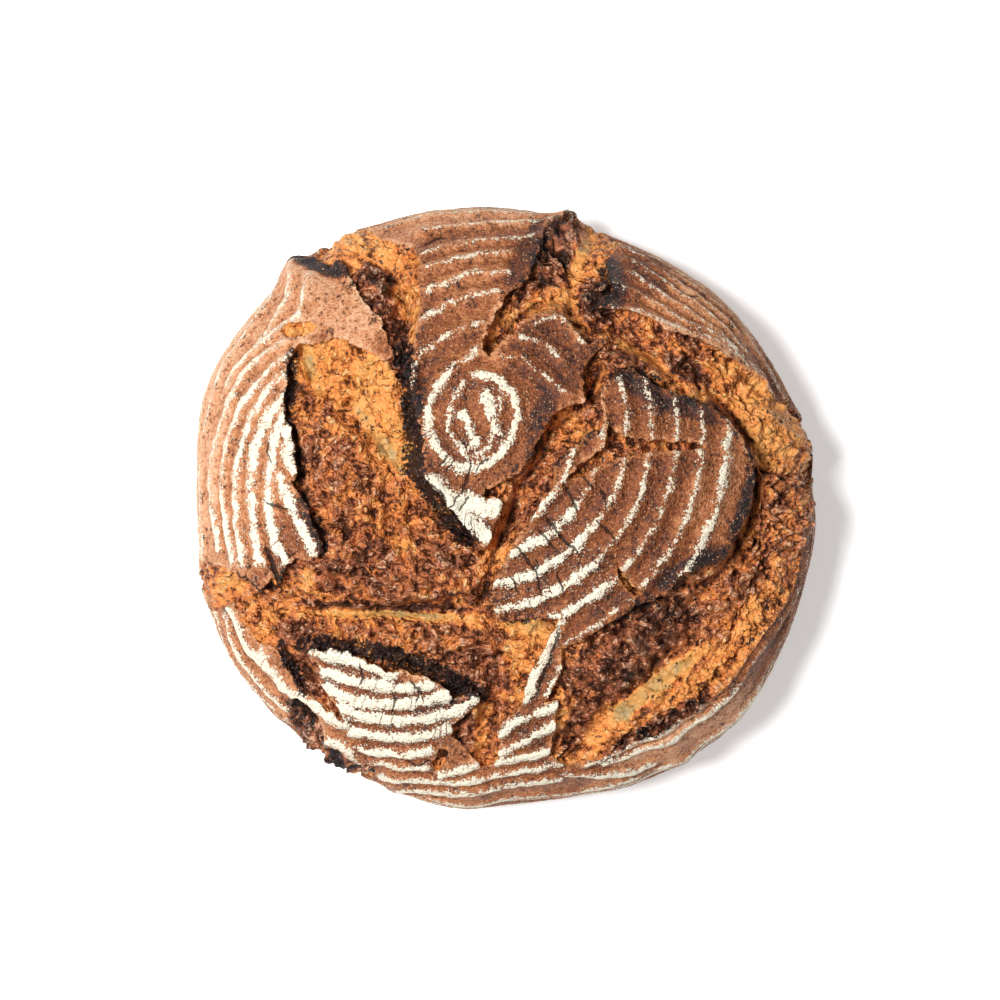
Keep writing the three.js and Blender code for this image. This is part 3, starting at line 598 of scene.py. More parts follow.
# ---- Lines and patches on the map -------------------------------------------------------------------------
def nearest(line, x, y, closed=False):
    """Each point's distance to a line in map units, and the line's own value there, if it has values."""
    starts = np.array(line, float)
    ends = np.roll(starts, -1, 0)
    count = len(starts) if closed else len(starts) - 1
    distance = np.full(x.shape, np.inf)
    value = np.zeros(x.shape)
    for a, b in zip(starts[:count], ends[:count]):
        d = b - a
        t = np.clip(((x - a[0]) * d[0] + (y - a[1]) * d[1]) / (d[0] ** 2 + d[1] ** 2), 0, 1)
        away = np.hypot(x - a[0] - t * d[0], y - a[1] - t * d[1])
        closer = away < distance
        distance[closer] = away[closer]
        if len(a) > 2:
            value[closer] = (a[2] + t * d[2])[closer]
    return distance, value


def along(across, height):
    """The length along a line up to each of its points."""
    return np.concatenate([[0], np.cumsum(np.hypot(np.diff(across), np.diff(height)))])


def follow(points, x, y):
    """Each point's distance to a line in map units, 1 or -1 for the line's right or left side on the map, and
    how far along the line it is, from 0 to 1."""
    passed = along(*points.T) / along(*points.T)[-1]
    distance, side, progress = np.full(x.shape, np.inf), np.ones(x.shape), np.zeros(x.shape)
    for a, b, start, end in zip(points, points[1:], passed, passed[1:]):
        d = b - a
        t = np.clip(((x - a[0]) * d[0] + (y - a[1]) * d[1]) / (d @ d), 0, 1)
        away = np.hypot(x - a[0] - t * d[0], y - a[1] - t * d[1])
        closer = away < distance
        distance[closer] = away[closer]
        side[closer] = np.sign(d[0] * (y - a[1]) - d[1] * (x - a[0]))[closer]
        progress[closer] = mix(start, end, t)[closer]
    return distance, side, progress


def inside(outline, x, y):
    odd = np.zeros(x.shape, bool)
    for (ax, ay), (bx, by) in zip(outline, np.roll(outline, -1, 0)):
        if ay != by:
            odd ^= ((ay > y) != (by > y)) & (x < (bx - ax) * (y - ay) / (by - ay) + ax)
    return odd


def outside(outline, x, y):
    """Distance outside an outline in mm, below 0 inside it."""
    away = nearest(outline, x, y, closed=True)[0] * UNIT
    return np.where(inside(outline, x, y), -away, away)


def oval(at, size, turn, x, y):
    """How far each point is from an oval's middle: 1 on the oval itself."""
    a = math.radians(turn)
    u = ((x - at[0]) * math.cos(a) + (y - at[1]) * math.sin(a)) / size[0]
    v = ((y - at[1]) * math.cos(a) - (x - at[0]) * math.sin(a)) / size[1]
    return np.hypot(u, v)


def paint(ground, patches, x, y):
    """Values of patches with soft edges, painted one over another."""
    value = np.full(x.shape, float(ground))
    for at, size, turn, tone in patches:
        value = mix(value, tone, smooth((1.25 - oval(at, size, turn, x, y)) / 0.5))
    return value


# ---- The plain loaf: its rim and its profile --------------------------------------------------------------
def polar(outline):
    """Angles and radii of an outline round the map's centre, in order of angle."""
    dx, dy = (np.array(outline, float) - MAP_CENTRE).T
    order = np.argsort(np.arctan2(dy, dx))
    return np.arctan2(dy, dx)[order], np.hypot(dx, dy)[order]


RIM_ANGLES, RIM_RADII = polar(RIM)


def rim_radius(angle):
    """The rim's radius on the map at each angle, by a closed Catmull-Rom curve."""
    n = len(RIM_ANGLES)
    i = np.searchsorted(RIM_ANGLES, angle, side="right")
    (_, r0), (a1, r1), (a2, r2), (_, r3) = [
        (RIM_ANGLES[k % n] + 2 * np.pi * (k // n), RIM_RADII[k % n]) for k in (i - 2, i - 1, i, i + 1)
    ]
    t = (angle - a1) / (a2 - a1)
    m1, m2 = (r2 - r0) / 2, (r3 - r1) / 2
    return (
        (2 * t**3 - 3 * t**2 + 1) * r1 + (t**3 - 2 * t**2 + t) * m1
        + (3 * t**2 - 2 * t**3) * r2 + (t**3 - t**2) * m2
    )


PROFILE_STEPS = 240  # in the dome, and as many in the side


def profile():
    """Shares of the rim's radius and heights, from the dome's middle over the rim to the base's middle."""
    turns = np.linspace(0, math.pi / 2, PROFILE_STEPS + 1)
    dome = np.sin(turns)
    rise = DOME_RISE * np.clip(1 - dome**DOME_FULLNESS, 0, 1) ** (1 / DOME_FULLNESS)
    inset = 1 - np.clip(np.cos(turns[1:]), 0, 1) ** (2 / SIDE_FULLNESS)
    side = RIM_HEIGHT * (1 - np.sin(turns[1:]) ** (2 / SIDE_FULLNESS))
    shares = np.concatenate([dome, 1 - (1 - BASE_SHARE) * inset, [0]])
    heights = np.concatenate([RIM_HEIGHT + rise, side, [0]])
    return shares, heights


SHARES, HEIGHTS = profile()
RUNS = along(SHARES * LOAF_WIDTH / 2, HEIGHTS)  # the length along the crust to each point of the profile
OUTWARD = np.gradient(SHARES * LOAF_WIDTH / 2, RUNS)  # the profile's direction at each point
UPWARD = np.gradient(HEIGHTS, RUNS)
NEARER = SHARES / (1 - (HEIGHTS - RIM_HEIGHT) / MAP_EYE)  # the shares as the perspective enlarges them
SEEN = NEARER[: NEARER.argmax() + 1] / NEARER.max()  # the share of the rim's radius on the map, where seen
SEEN_RUNS = RUNS[: len(SEEN)]
RIM_RUN = SEEN_RUNS[-1]
BASE_RUN = RUNS[-2]  # where the flat base begins
SIDE_LENGTH = BASE_RUN - RIM_RUN


def from_centre(reach, angle):
    return MAP_CENTRE[0] + reach * np.cos(angle), MAP_CENTRE[1] + reach * np.sin(angle)


class Plain:
    """The plain surface at points of the unrolled map: its length along the crust and its distance below the
    rim, its place in mm, and the tilt of the direction in which relief moves it, from straight up to straight
    out."""

    def __init__(self, x, y):
        dx, dy = x - MAP_CENTRE[0], y - MAP_CENTRE[1]
        self.angle = np.arctan2(dy, dx)
        self.run = np.hypot(dx, dy) * UNIT
        self.below = np.clip(self.run - RIM_RUN, 0, None)
        self.share = np.interp(self.run, RUNS, SHARES)
        self.radius = self.share * rim_radius(self.angle) * UNIT
        self.height = np.interp(self.run, RUNS, HEIGHTS)
        on_dome = np.interp(self.run, RUNS[: PROFILE_STEPS + 1], SHARES[: PROFILE_STEPS + 1])
        self.tilt = smooth((on_dome - TILT_START) / (1 - TILT_START)) * math.pi / 2

    def places(self, rise=0):
        radius = self.radius + rise * np.sin(self.tilt)
        height = self.height + rise * np.cos(self.tilt)
        return np.stack([radius * np.cos(self.angle), -radius * np.sin(self.angle), height], -1)

    def on_map(self):
        seen = np.interp(self.run, SEEN_RUNS, SEEN) * rim_radius(self.angle)
        return from_centre(seen + self.below / UNIT, self.angle)


def unroll(line):
    """A line or outline of the map on the unrolled map, with the values of its points kept."""
    points = np.array(line, float)
    dx, dy = (points[:, :2] - MAP_CENTRE).T
    reach, angle = np.hypot(dx, dy), np.arctan2(dy, dx)
    rim = rim_radius(angle)
    run = np.interp(reach / rim, SEEN, SEEN_RUNS) + np.clip(reach - rim, 0, None) * UNIT
    points[:, 0], points[:, 1] = from_centre(run / UNIT, angle)
    return points


# ---- The edges of the crust, on the unrolled map ----------------------------------------------------------
PLATE_OUTLINES = {name: unroll(outline) for name, outline in PLATES.items()}
SCRAPE_OUTLINES = [unroll(outline) for outline in SCRAPES]


def ragged(places, seed):
    return sum(size * lumps(places, pitch, seed + k) for k, (size, pitch) in enumerate(RAGGEDNESS))


def wander(x, y, places):
    """Where on a map the outlines are read for each point: they wander, so that torn edges are ragged."""
    return x + ragged(places, 1) / UNIT, y + ragged(places, 3) / UNIT


def off_crust(x, y):
    """Distance outside the crust in mm, below 0 on its plates. The side under the tears is all crust."""
    plain = Plain(x, y)
    places = plain.places()
    least = TEAR_REACH + TEAR_WANDER * lumps(places, 15, 5) - plain.below
    held = np.minimum(plain.run, RIM_RUN + PLATE_REACH)
    wx, wy = wander(*from_centre(held / UNIT, plain.angle), places)
    for outline in PLATE_OUTLINES.values():
        least = np.minimum(least, outside(outline, wx, wy) - TEAR_CLOSING * plain.below)
    for outline in SCRAPE_OUTLINES:
        least = np.maximum(least, -outside(outline, wx, wy))
    return least


def slope_of(function, x, y, step=0.25):
    """The function's slope, per map unit."""
    across = (function(x + step, y) - function(x - step, y)) / (2 * step)
    down = (function(x, y + step) - function(x, y - step)) / (2 * step)
    return across, down


def snap_to_edges(x, y, spacing):
    """Moves points that are close to a plate's edge onto it."""
    out = off_crust(x, y)
    near = np.abs(out) < SNAP_SHARE * spacing
    across, down = slope_of(off_crust, x[near], y[near])
    steep = np.clip(across**2 + down**2, UNIT**2 / 2, None)
    x[near] -= out[near] * across / steep
    y[near] -= out[near] * down / steep


# ---- Relief over the plain loaf ---------------------------------------------------------------------------
def crease(x, y):
    """Distance to the nearest crease in mm, and its depth."""
    distance, depth = np.full(x.shape, np.inf), np.zeros(x.shape)
    for line in CREASES:
        away, value = nearest(unroll(line), x, y)
        closer = away < distance
        distance[closer], depth[closer] = away[closer], value[closer]
    return distance * UNIT, depth


def swelling(x, y):
    return sum(
        rise * np.exp(-((x - at[0]) ** 2 + (y - at[1]) ** 2) / reach**2) for at, reach, rise in BULGES
    )


def mound(x, y):
    tops = [rise * smooth((1.35 - oval(at, size, turn, x, y)) / 0.9) for at, size, turn, rise in MOUNDS]
    return np.max(tops, 0)


def curl(x, y):
    return np.max(
        [rise * (1 - smooth(nearest(unroll(line), x, y)[0] / reach)) for line, reach, rise in CURLS], 0
    )


def shelves(x, y):
    """Steps in the crumb, which stand up on their line's right side and fade out away from it."""
    total = np.zeros(x.shape)
    for line, step, reach in SHELVES:
        away, side, progress = follow(unroll(line), x, y)
        ends = smooth(progress * 6) * smooth((1 - progress) * 6)
        total += step * ends * side * np.exp(-away * UNIT / reach) * smooth(away * UNIT / 0.8)
    return total


def holes(x, y):
    depths = [depth * smooth((1.2 - oval(at, size, turn, x, y)) / 0.7) for at, size, turn, depth in HOLES]
    return np.sum(depths, 0)


def cracks(x, y):
    """Distance to the nearest crack in mm, below 0 on its left side, its half width and its depth."""
    distance, half_width, depth = np.full(x.shape, np.inf), np.zeros(x.shape), np.zeros(x.shape)
    for line, width, deep in CRACKS:
        away, side, progress = follow(unroll(line), x, y)
        taper = np.sqrt(4 * progress * (1 - progress))
        closer = away * UNIT < np.abs(distance)
        distance[closer] = (away * UNIT * side)[closer]
        half_width[closer] = (width * taper - 0.4 * smooth(away * UNIT / 1.5 - 0.5))[closer]
        depth = np.maximum(depth, deep * taper * (1 - smooth(away * UNIT / (width + 0.8))))
    return distance, half_width, depth


def ring_distance(x, y, map_x, map_y, plain):
    """Distance to the middle of the nearest flour ring in mm, less what that ring is wider than the rest, for
    points on the unrolled map and on the map."""
    distance = np.full(x.shape, np.inf)
    for wider, line in RINGS:
        distance = np.minimum(distance, nearest(unroll(line), x, y)[0] * UNIT - wider)
    dx, dy = map_x - SHELL_MIDDLE[0], map_y - SHELL_MIDDLE[1]
    turn = np.degrees(np.arctan2(dy, dx))
    on_shell = (outside(PLATE_OUTLINES["shell"], x, y) < 0) & (turn > SHELL_ARC[0]) & (turn < SHELL_ARC[1])
    for radius in SHELL_RADII:
        away = np.abs(np.hypot(dx, dy) - radius) * UNIT
        distance = np.where(on_shell, np.minimum(distance, away), distance)
    down = plain.run - RIM_RUN - SIDE_RINGS_START + 1.5 * lumps(plain.places(), 40, 21)
    on_side = np.abs(down - SIDE_RING_PITCH * np.clip(np.round(down / SIDE_RING_PITCH), 0, None))
    return np.minimum(distance, on_side + 2 * smooth(1 - (distance - RING_GAP) / 3))


class Loaf:
    """The finished surface at map points, and the values that its material reads."""

    def __init__(self, x, y):
        plain = Plain(x, y)
        places = plain.places()
        wx, wy = wander(x, y, places)
        map_x, map_y = plain.on_map()
        seen_x, seen_y = wander(map_x, map_y, places)
        self.edge = off_crust(x, y)
        self.flour = paint(FLOURED, FLOUR_PATCHES, seen_x, seen_y)
        self.ring = ring_distance(wx, wy, seen_x, seen_y, plain)
        self.crack, self.cracked, crack_depth = cracks(wx, wy)
        self.bake = paint(BAKED, BAKE_PATCHES, seen_x, seen_y)
        self.toast = paint(TOASTED, TOAST_PATCHES, seen_x, seen_y)
        burns = [
            strength * (1 - smooth(nearest(unroll(line), wx, wy)[0] / reach - 0.3))
            for line, reach, strength in CHARRED
        ]
        self.char = np.max(burns, 0)

        swell = swelling(map_x, map_y)
        plate = swell + self.crust_relief(places, wx, wy) - crack_depth
        tilted = plain.tilt / (math.pi / 2)
        torn = BULGE_IN_CRUMB * swell + self.crumb_relief(places, x, y, map_x, map_y, tilted)
        drop = 1 - (1 - np.clip(self.edge / EDGE_WIDTH, 0, 1)) ** 2
        rise = mix(plate, torn, drop)
        fade = 1 - smooth((plain.below - TEAR_REACH) / (SIDE_LENGTH - TEAR_REACH))
        self.places = plain.places(rise * fade)
        self.hang_over(x, y, plain)
        self.roughen(places, plain)
        self.fit_outline(plain)

    def crust_relief(self, places, x, y):
        waves = sum(height * lumps(places, pitch, seed) for height, pitch, seed in CRUST_WAVES)
        ridge = RIDGE_HEIGHT * (1 - smooth(np.clip(self.ring, 0, None) / RIDGE_REACH))
        return waves + ridge + curl(x, y) * smooth((self.edge + 7) / 7)

    def crumb_relief(self, places, x, y, map_x, map_y, tilted):
        distance, depth = crease(x, y)
        out = np.clip(self.edge, 0, None)
        fall = out / (out + distance + 1e-6)
        recess = mix(1, RIM_RECESS, smooth(tilted * 2 - 1))
        deep = (-CRUST_STEP - depth * smooth(fall * 0.5 + 0.5) * fall) * recess
        scraped = np.min([outside(outline, x, y) for outline in SCRAPE_OUTLINES], 0) < 0
        sx = x + 2.2 * lumps(places, 9, 18) / UNIT
        sy = y + 2.2 * lumps(places, 9, 19) / UNIT
        raised = mound(map_x, map_y) * smooth(out / 5) + SCRAPE_RISE * scraped
        raised += shelves(sx, sy) - holes(map_x, map_y)
        rough = 0.4 + smooth(distance / 4) * smooth(np.maximum(self.toast, self.char) / 0.65)
        billows = 4 * np.abs(lumps(places, 7, 9)) - 1
        small_billows = 4 * np.abs(lumps(places, 3.6, 10)) - 1
        near, kind = cells(places, 5, 11)
        pits = smooth((0.42 - near) / 0.42) * smooth((kind - 0.05) / 0.2)
        level = TERRACES * lumps(places, 15, 20)
        terraces = (np.floor(level) + smooth((level % 1 - 0.35) / 0.3)) / TERRACES
        crags = 1.2 * lumps(places, 14, 12) + 1.5 * terraces
        crags += rough * (1.4 * billows + 1.2 * small_billows + 0.6 * lumps(places, 2.2, 13))
        return deep + raised + crags * smooth(out / 2) - PIT_DEPTH * rough * pits * smooth(out / 2.5)

    def hang_over(self, x, y, plain):
        """Pushes the plates' lips out over the tears, and the walls under them back."""
        near = np.abs(self.edge - 0.6) < 2.4
        edge, angle, run = self.edge[near], plain.angle[near], plain.run[near]
        across, down = slope_of(off_crust, x[near], y[near])
        push = LIP_OUT * hump((edge + 0.4) / 0.9) - UNDERCUT * hump((edge - 1.2) / 1.2)
        push /= np.hypot(across, down) + 1e-6
        outward = push * (across * np.cos(angle) + down * np.sin(angle))
        around = push * (down * np.cos(angle) - across * np.sin(angle))
        level = outward * np.interp(run, RUNS, OUTWARD)
        self.places[near, 0] += level * np.cos(angle) - around * np.sin(angle)
        self.places[near, 1] -= level * np.sin(angle) + around * np.cos(angle)
        self.places[near, 2] += outward * np.interp(run, RUNS, UPWARD)

    def roughen(self, places, plain):
        """Moves the crumb a little in every direction, so that its crags overhang, and dents the base."""
        share = smooth(self.edge / 2) * JITTER
        for axis in range(3):
            self.places[:, axis] += share * lumps(places, JITTER_PITCH, 14 + axis)
        on_base = plain.below > SIDE_LENGTH
        inward = smooth((plain.below - SIDE_LENGTH) / 8)
        dents = np.clip(0.5 + lumps(places, DENT_PITCH, 17), 0, None)
        self.places[on_base, 2] = (DENT_DEPTH * inward * dents)[on_base]

    def fit_outline(self, plain):
        """Moves the rim in or out until it meets the outline as it is seen from above."""
        seen = self.places[:, :2] / (1 - (self.places[:, 2:] - RIM_HEIGHT) / MAP_EYE) / UNIT
        angle = np.arctan2(-seen[:, 1], seen[:, 0])
        step = np.floor((angle / math.pi + 1) / 2 * OUTLINE_STEPS).astype(int) % OUTLINE_STEPS
        reach = np.zeros(OUTLINE_STEPS)
        np.maximum.at(reach, step, np.hypot(*seen.T))
        middles = ((np.arange(OUTLINE_STEPS) + 0.5) / OUTLINE_STEPS * 2 - 1) * math.pi
        gap = np.interp(middles, *polar(SILHOUETTE), period=2 * math.pi) - reach
        gap = np.mean([np.roll(gap, k) for k in range(-3, 4)], 0)
        gap = np.interp(angle, middles, gap, period=2 * math.pi)
        share = np.sin(plain.tilt) * (1 - smooth(plain.below / OUTLINE_FIT_REACH))
        push = (gap * UNIT * share)[:, None]
        self.places[:, :2] += push * np.stack([np.cos(angle), -np.sin(angle)], -1)


# ---- The mesh: rings of vertices from the crown to the middle of the base, zipped together ----------------
def ring_levels():
    """Each ring's length along the crust from the middle of the dome, and its spacing."""
    levels = [(run, TOP_SPACING) for run in np.arange(TOP_SPACING, RIM_RUN, TOP_SPACING * ROW_SHARE)]
    rows = round(SIDE_LENGTH / ((RIM_SPACING + SIDE_SPACING) / 2 * ROW_SHARE))
    levels += [
        (mix(RIM_RUN, BASE_RUN, k / rows), mix(RIM_SPACING, SIDE_SPACING, k / rows)) for k in range(rows + 1)
    ]
    step = BASE_SPACING * ROW_SHARE
    levels += [(run, BASE_SPACING) for run in np.arange(BASE_RUN + step, RUNS[-1] - step / 2, step)]
    return levels


def ring_angles(run, spacing, index):
    """Evenly spaced angles round one ring. Every other ring is turned by half a spacing."""
    count = max(6, round(math.pi * np.interp(run, RUNS, SHARES) * LOAF_WIDTH / spacing))
    return ((np.arange(count) + (index % 2) * 0.5) / count) * 2 * math.pi - math.pi


def zip_rings(inner, outer, inner_start, outer_start):
    """Triangles between two rings of angles, taking the next vertex of whichever ring is behind."""
    triangles = []
    i = j = 0
    inner_turns = np.append(inner, inner[0] + 2 * math.pi).tolist()
    outer_turns = np.append(outer, outer[0] + 2 * math.pi).tolist()
    n, m = len(inner), len(outer)
    while i < n or j < m:
        a, b = inner_start + i % n, outer_start + j % m
        if j >= m or (i < n and inner_turns[i + 1] <= outer_turns[j + 1]):
            i += 1
            triangles.append((a, inner_start + i % n, b))
        else:
            j += 1
            triangles.append((a, outer_start + j % m, b))
    return triangles


def loaf_rings():
    """The vertices on the unrolled map, from the dome's middle to the base's, the mesh's spacing at each, the
    triangles, and the index at which the base's triangles start."""
    levels = ring_levels()
    angles = [ring_angles(run, spacing, k) for k, (run, spacing) in enumerate(levels)]
    starts = np.cumsum([1] + [len(ring) for ring in angles])
    ring_runs = [np.full(len(ring), run) for ring, (run, _) in zip(angles, levels)]
    runs = np.concatenate([[0]] + ring_runs + [RUNS[-1:]])
    turns = np.concatenate([[0]] + angles + [[0]])
    spacing = np.interp(runs, *zip((0, TOP_SPACING), *levels))
    first, last = len(angles[0]), len(angles[-1])
    triangles = [(0, 1 + (k + 1) % first, 1 + k) for k in range(first)]
    base_starts = 0
    for k in range(1, len(levels)):
        if levels[k][0] > BASE_RUN and not base_starts:
            base_starts = len(triangles)
        triangles += zip_rings(angles[k - 1], angles[k], starts[k - 1], starts[k])
    tip = starts[-1]
    triangles += [(starts[-2] + k, starts[-2] + (k + 1) % last, tip) for k in range(last)]
    return *from_centre(runs / UNIT, turns), spacing, np.array(triangles), base_starts


def hollowness(places, triangles, rounds):
    """How far each vertex lies below its surroundings in mm, which reach further with more rounds."""
    ends = np.concatenate([triangles[:, [0, 1]], triangles[:, [1, 2]], triangles[:, [2, 0]]])
    count = np.bincount(ends[:, 0], minlength=len(places))[:, None]
    around = places.copy()
    for _ in range(rounds):
        total = [np.bincount(ends[:, 0], around[ends[:, 1], k], len(places)) for k in range(3)]
        around = (around + np.stack(total, -1) / count) / 2
    return ((around - places) * vertex_normals(places, triangles)).sum(-1)


def vertex_normals(places, triangles):
    a, b, c = (places[triangles[:, k]] for k in range(3))
    faces = np.cross(b - a, c - a)
    total = np.stack(
        [sum(np.bincount(triangles[:, k], faces[:, n], len(places)) for k in range(3)) for n in range(3)], -1
    )
    return total / np.linalg.norm(total, axis=1, keepdims=True)


def bake_map(x, y, triangles, base_starts):
    """Places on a square image for every corner of a triangle: the dome and side on one disc and the base on
    a small one in a corner, with lengths along the crust kept."""
    plain = Plain(x, y)
    around = np.stack([np.cos(plain.angle), -np.sin(plain.angle)], -1)
    on_disc = 0.5 + DISC_RADIUS * (plain.run / BASE_RUN)[:, None] * around
    on_base = BASE_DISC_RADIUS * (1.06 + (plain.share / BASE_SHARE)[:, None] * around)
    corners = on_disc[triangles]
    corners[base_starts:] = on_base[triangles[base_starts:]]
    return corners.reshape(-1, 2)


def make_loaf():
    """The loaf, with the values that its material reads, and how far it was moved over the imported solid."""
    x, y, spacing, triangles, base_starts = loaf_rings()
    snap_to_edges(x, y, spacing)
    surface = Loaf(x, y)
    places = surface.places
    for rounds, height in SPIKES:
        over = np.clip(-hollowness(places, triangles, rounds) - height, 0, None)
        places[:, 2] -= over * smooth(surface.edge - 0.5)
    cad_low, cad_high = (np.array(corner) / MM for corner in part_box("loaf"))
    shift = ((cad_low + cad_high) - (places.min(0) + places.max(0))) / 2 * (1, 1, 0)
    mesh = bpy.data.meshes.new("loaf")
    mesh.from_pydata(((places + shift) * MM).tolist(), [], triangles.tolist())
    values = {name: getattr(surface, name) for name in SURFACE_VALUES}
    values["pocket"] = hollowness(places, triangles, POCKET_ROUNDS)
    values["hollow"] = hollowness(places, triangles, HOLLOW_ROUNDS)
    for name, value in values.items():
        layer = mesh.attributes.new(name, "FLOAT", "POINT")
        layer.data.foreach_set("value", value.astype(np.float32))
    uv = mesh.uv_layers.new(name="OFBake")
    uv.data.foreach_set("uv", bake_map(x, y, triangles, base_starts).astype(np.float32).ravel())
    mesh.shade_smooth()
    on_lip = np.abs(surface.edge) < LIP_LINE
    ends = np.empty(len(mesh.edges) * 2, np.int32)
    mesh.edges.foreach_get("vertices", ends)
    sharp = mesh.attributes.new("sharp_edge", "BOOLEAN", "EDGE")
    sharp.data.foreach_set("value", on_lip[ends.reshape(-1, 2)].all(1))
    loaf = bpy.data.objects.new("crust_and_crumb", mesh)
    bpy.context.scene.collection.objects.link(loaf)
    return loaf, shift


# ---- Material ---------------------------------------------------------------------------------------------
CRUST_TONES = [
    (0, (242, 188, 148)), (0.25, (212, 140, 92)), (0.5, (158, 90, 50)), (0.7, (120, 65, 38)),
    (0.85, (88, 52, 42)), (1, (42, 28, 27)),
]  # fmt: skip
CRUMB_TONES = [
    (0, (180, 152, 104)), (0.12, (214, 158, 88)), (0.25, (250, 170, 92)), (0.42, (236, 142, 72)),
    (0.6, (198, 116, 72)), (0.75, (158, 92, 62)), (0.88, (110, 60, 36)), (1, (52, 28, 18)),
]  # fmt: skip
PORE_TONE = (60, 28, 14)
GRAIN_TONE = (238, 178, 130)
# painted shade: the dark colour laid into the crumb's recesses, pores and deep hollows
PAINTED_SHADE_TONE = (58, 22, 4)
# painted highlights: glint colours laid on the crumb's crests, on pale and on toasted crumb
CRUMB_GLINT = (255, 206, 140)
TOAST_GLINT = (240, 186, 150)
CHAR_TONE = (28, 20, 21)
CHAR_LIGHT = (146, 98, 78)
CRACK_TONE = (50, 29, 20)
FLOUR_TONE = (252, 242, 218)
CREAM_TONE = (250, 228, 200)  # of thin flour on the crust
BRIGHTNESS = 1.4  # of the light on a level surface, by which the tones above are divided
CRUMB_LIGHT = 1.25  # the same for the crumb, which shades itself
FLOUR_LIGHT = 1.25  # the same for thick flour, which is brighter than the picture's white


def linear(rgb, light=BRIGHTNESS):
    """An sRGB tone from 0 to 255 as it looks in the light, as the linear colour of the surface."""
    share = [c / 255 for c in rgb]
    return tuple((c / 12.92 if c < 0.04045 else ((c + 0.055) / 1.055) ** 2.4) / light for c in share) + (1,)


class Nodes:
    """Short spellings for the nodes of one material. Each call makes a node and returns its output socket."""

    def __init__(self, name):
        self.material = bpy.data.materials.new(name)
        self.material.use_nodes = True
        self.tree = self.material.node_tree
        self.tree.nodes.clear()
        self.place = self.scaled(self.add("ShaderNodeTexCoord").outputs["Object"], 1 / MM)

    def add(self, kind, inputs=(), **settings):
        node = self.tree.nodes.new(kind)
        for name, value in settings.items():
            setattr(node, name, value)
        for name, value in dict(inputs).items():
            if isinstance(value, bpy.types.NodeSocket):
                self.tree.links.new(value, node.inputs[name])
            else:
                node.inputs[name].default_value = value
        return node

    def scaled(self, vector, scale):
        node = self.add("ShaderNodeVectorMath", {0: vector, "Scale": scale}, operation="SCALE")
        return node.outputs["Vector"]

    def value(self, name):
        return self.add("ShaderNodeAttribute", attribute_name=name).outputs["Fac"]

    def math(self, operation, *values):
        return self.add("ShaderNodeMath", dict(enumerate(values)), operation=operation).outputs[0]

    def sum(self, *terms):
        """The sum of (socket, factor) pairs and plain sockets or numbers."""
        total = 0
        for term in terms:
            if isinstance(term, tuple):
                total = self.math("MULTIPLY_ADD", term[0], term[1], total)
            else:
                total = self.math("ADD", term, total)
        return total

    def noise(self, pitch, seed, detail=2.0, roughness=0.5, distortion=0.0):
        """Noise between about -1 and 1."""
        moved = self.add("ShaderNodeVectorMath", {0: self.place, 1: (seed * 17.3,) * 3}, operation="ADD")
        inputs = {"Vector": moved.outputs[0], "Scale": 1 / pitch, "Detail": detail, "Roughness": roughness}
        inputs["Distortion"] = distortion
        fac = self.add("ShaderNodeTexNoise", inputs).outputs["Fac"]
        return self.math("MULTIPLY_ADD", fac, 4, -2)

    def cells(self, pitch, seed, place=None):
        """The distance to the nearest of points scattered about a pitch apart, and a number from 0 to 1 for
        that point."""
        inputs = {0: place or self.place, 1: (seed * 17.3,) * 3}
        moved = self.add("ShaderNodeVectorMath", inputs, operation="ADD")
        found = self.add("ShaderNodeTexVoronoi", {"Vector": moved.outputs[0], "Scale": 1 / pitch})
        pick = self.add("ShaderNodeSeparateColor", {"Color": found.outputs["Color"]}).outputs[0]
        return found.outputs["Distance"], pick

    def dots(self, pitch, seed, size, share, place=None):
        """1 in round dots of a size relative to the pitch, in about a share of the cells."""
        far, pick = self.cells(pitch, seed, place)
        chosen = self.step(self.sum(share, (pick, -1)), -0.05, 0.05)
        return self.math("MULTIPLY", self.step(far, size * 1.25, size * 0.75), chosen)

    def step(self, value, low, high):
        """0 below low and 1 above high, smoothly; the other way round if low is the greater."""
        flipped = low > high
        inputs = {"Value": value, "From Min": min(low, high), "From Max": max(low, high)}
        inputs |= {"To Min": float(flipped), "To Max": float(not flipped)}
        return self.add("ShaderNodeMapRange", inputs, interpolation_type="SMOOTHSTEP").outputs["Result"]

    def mix(self, share, a, b):
        node = self.add("ShaderNodeMix", data_type="RGBA")
        for socket, value in zip((node.inputs[0], node.inputs[6], node.inputs[7]), (share, a, b)):
            if isinstance(value, bpy.types.NodeSocket):
                self.tree.links.new(value, socket)
            else:
                socket.default_value = value
        return node.outputs[2]

    def mix_values(self, share, a, b):
        inputs = {0: share, 2: a, 3: b}
        return self.add("ShaderNodeMix", inputs, data_type="FLOAT").outputs[0]

    def ramp(self, value, stops, light=BRIGHTNESS):
        node = self.add("ShaderNodeValToRGB", {"Fac": value})
        elements = node.color_ramp.elements
        while len(elements) < len(stops):
            elements.new(0.5)
        for element, (position, tone) in zip(elements, stops):
            element.position = position
            element.color = linear(tone, light)
        return node.outputs["Color"]


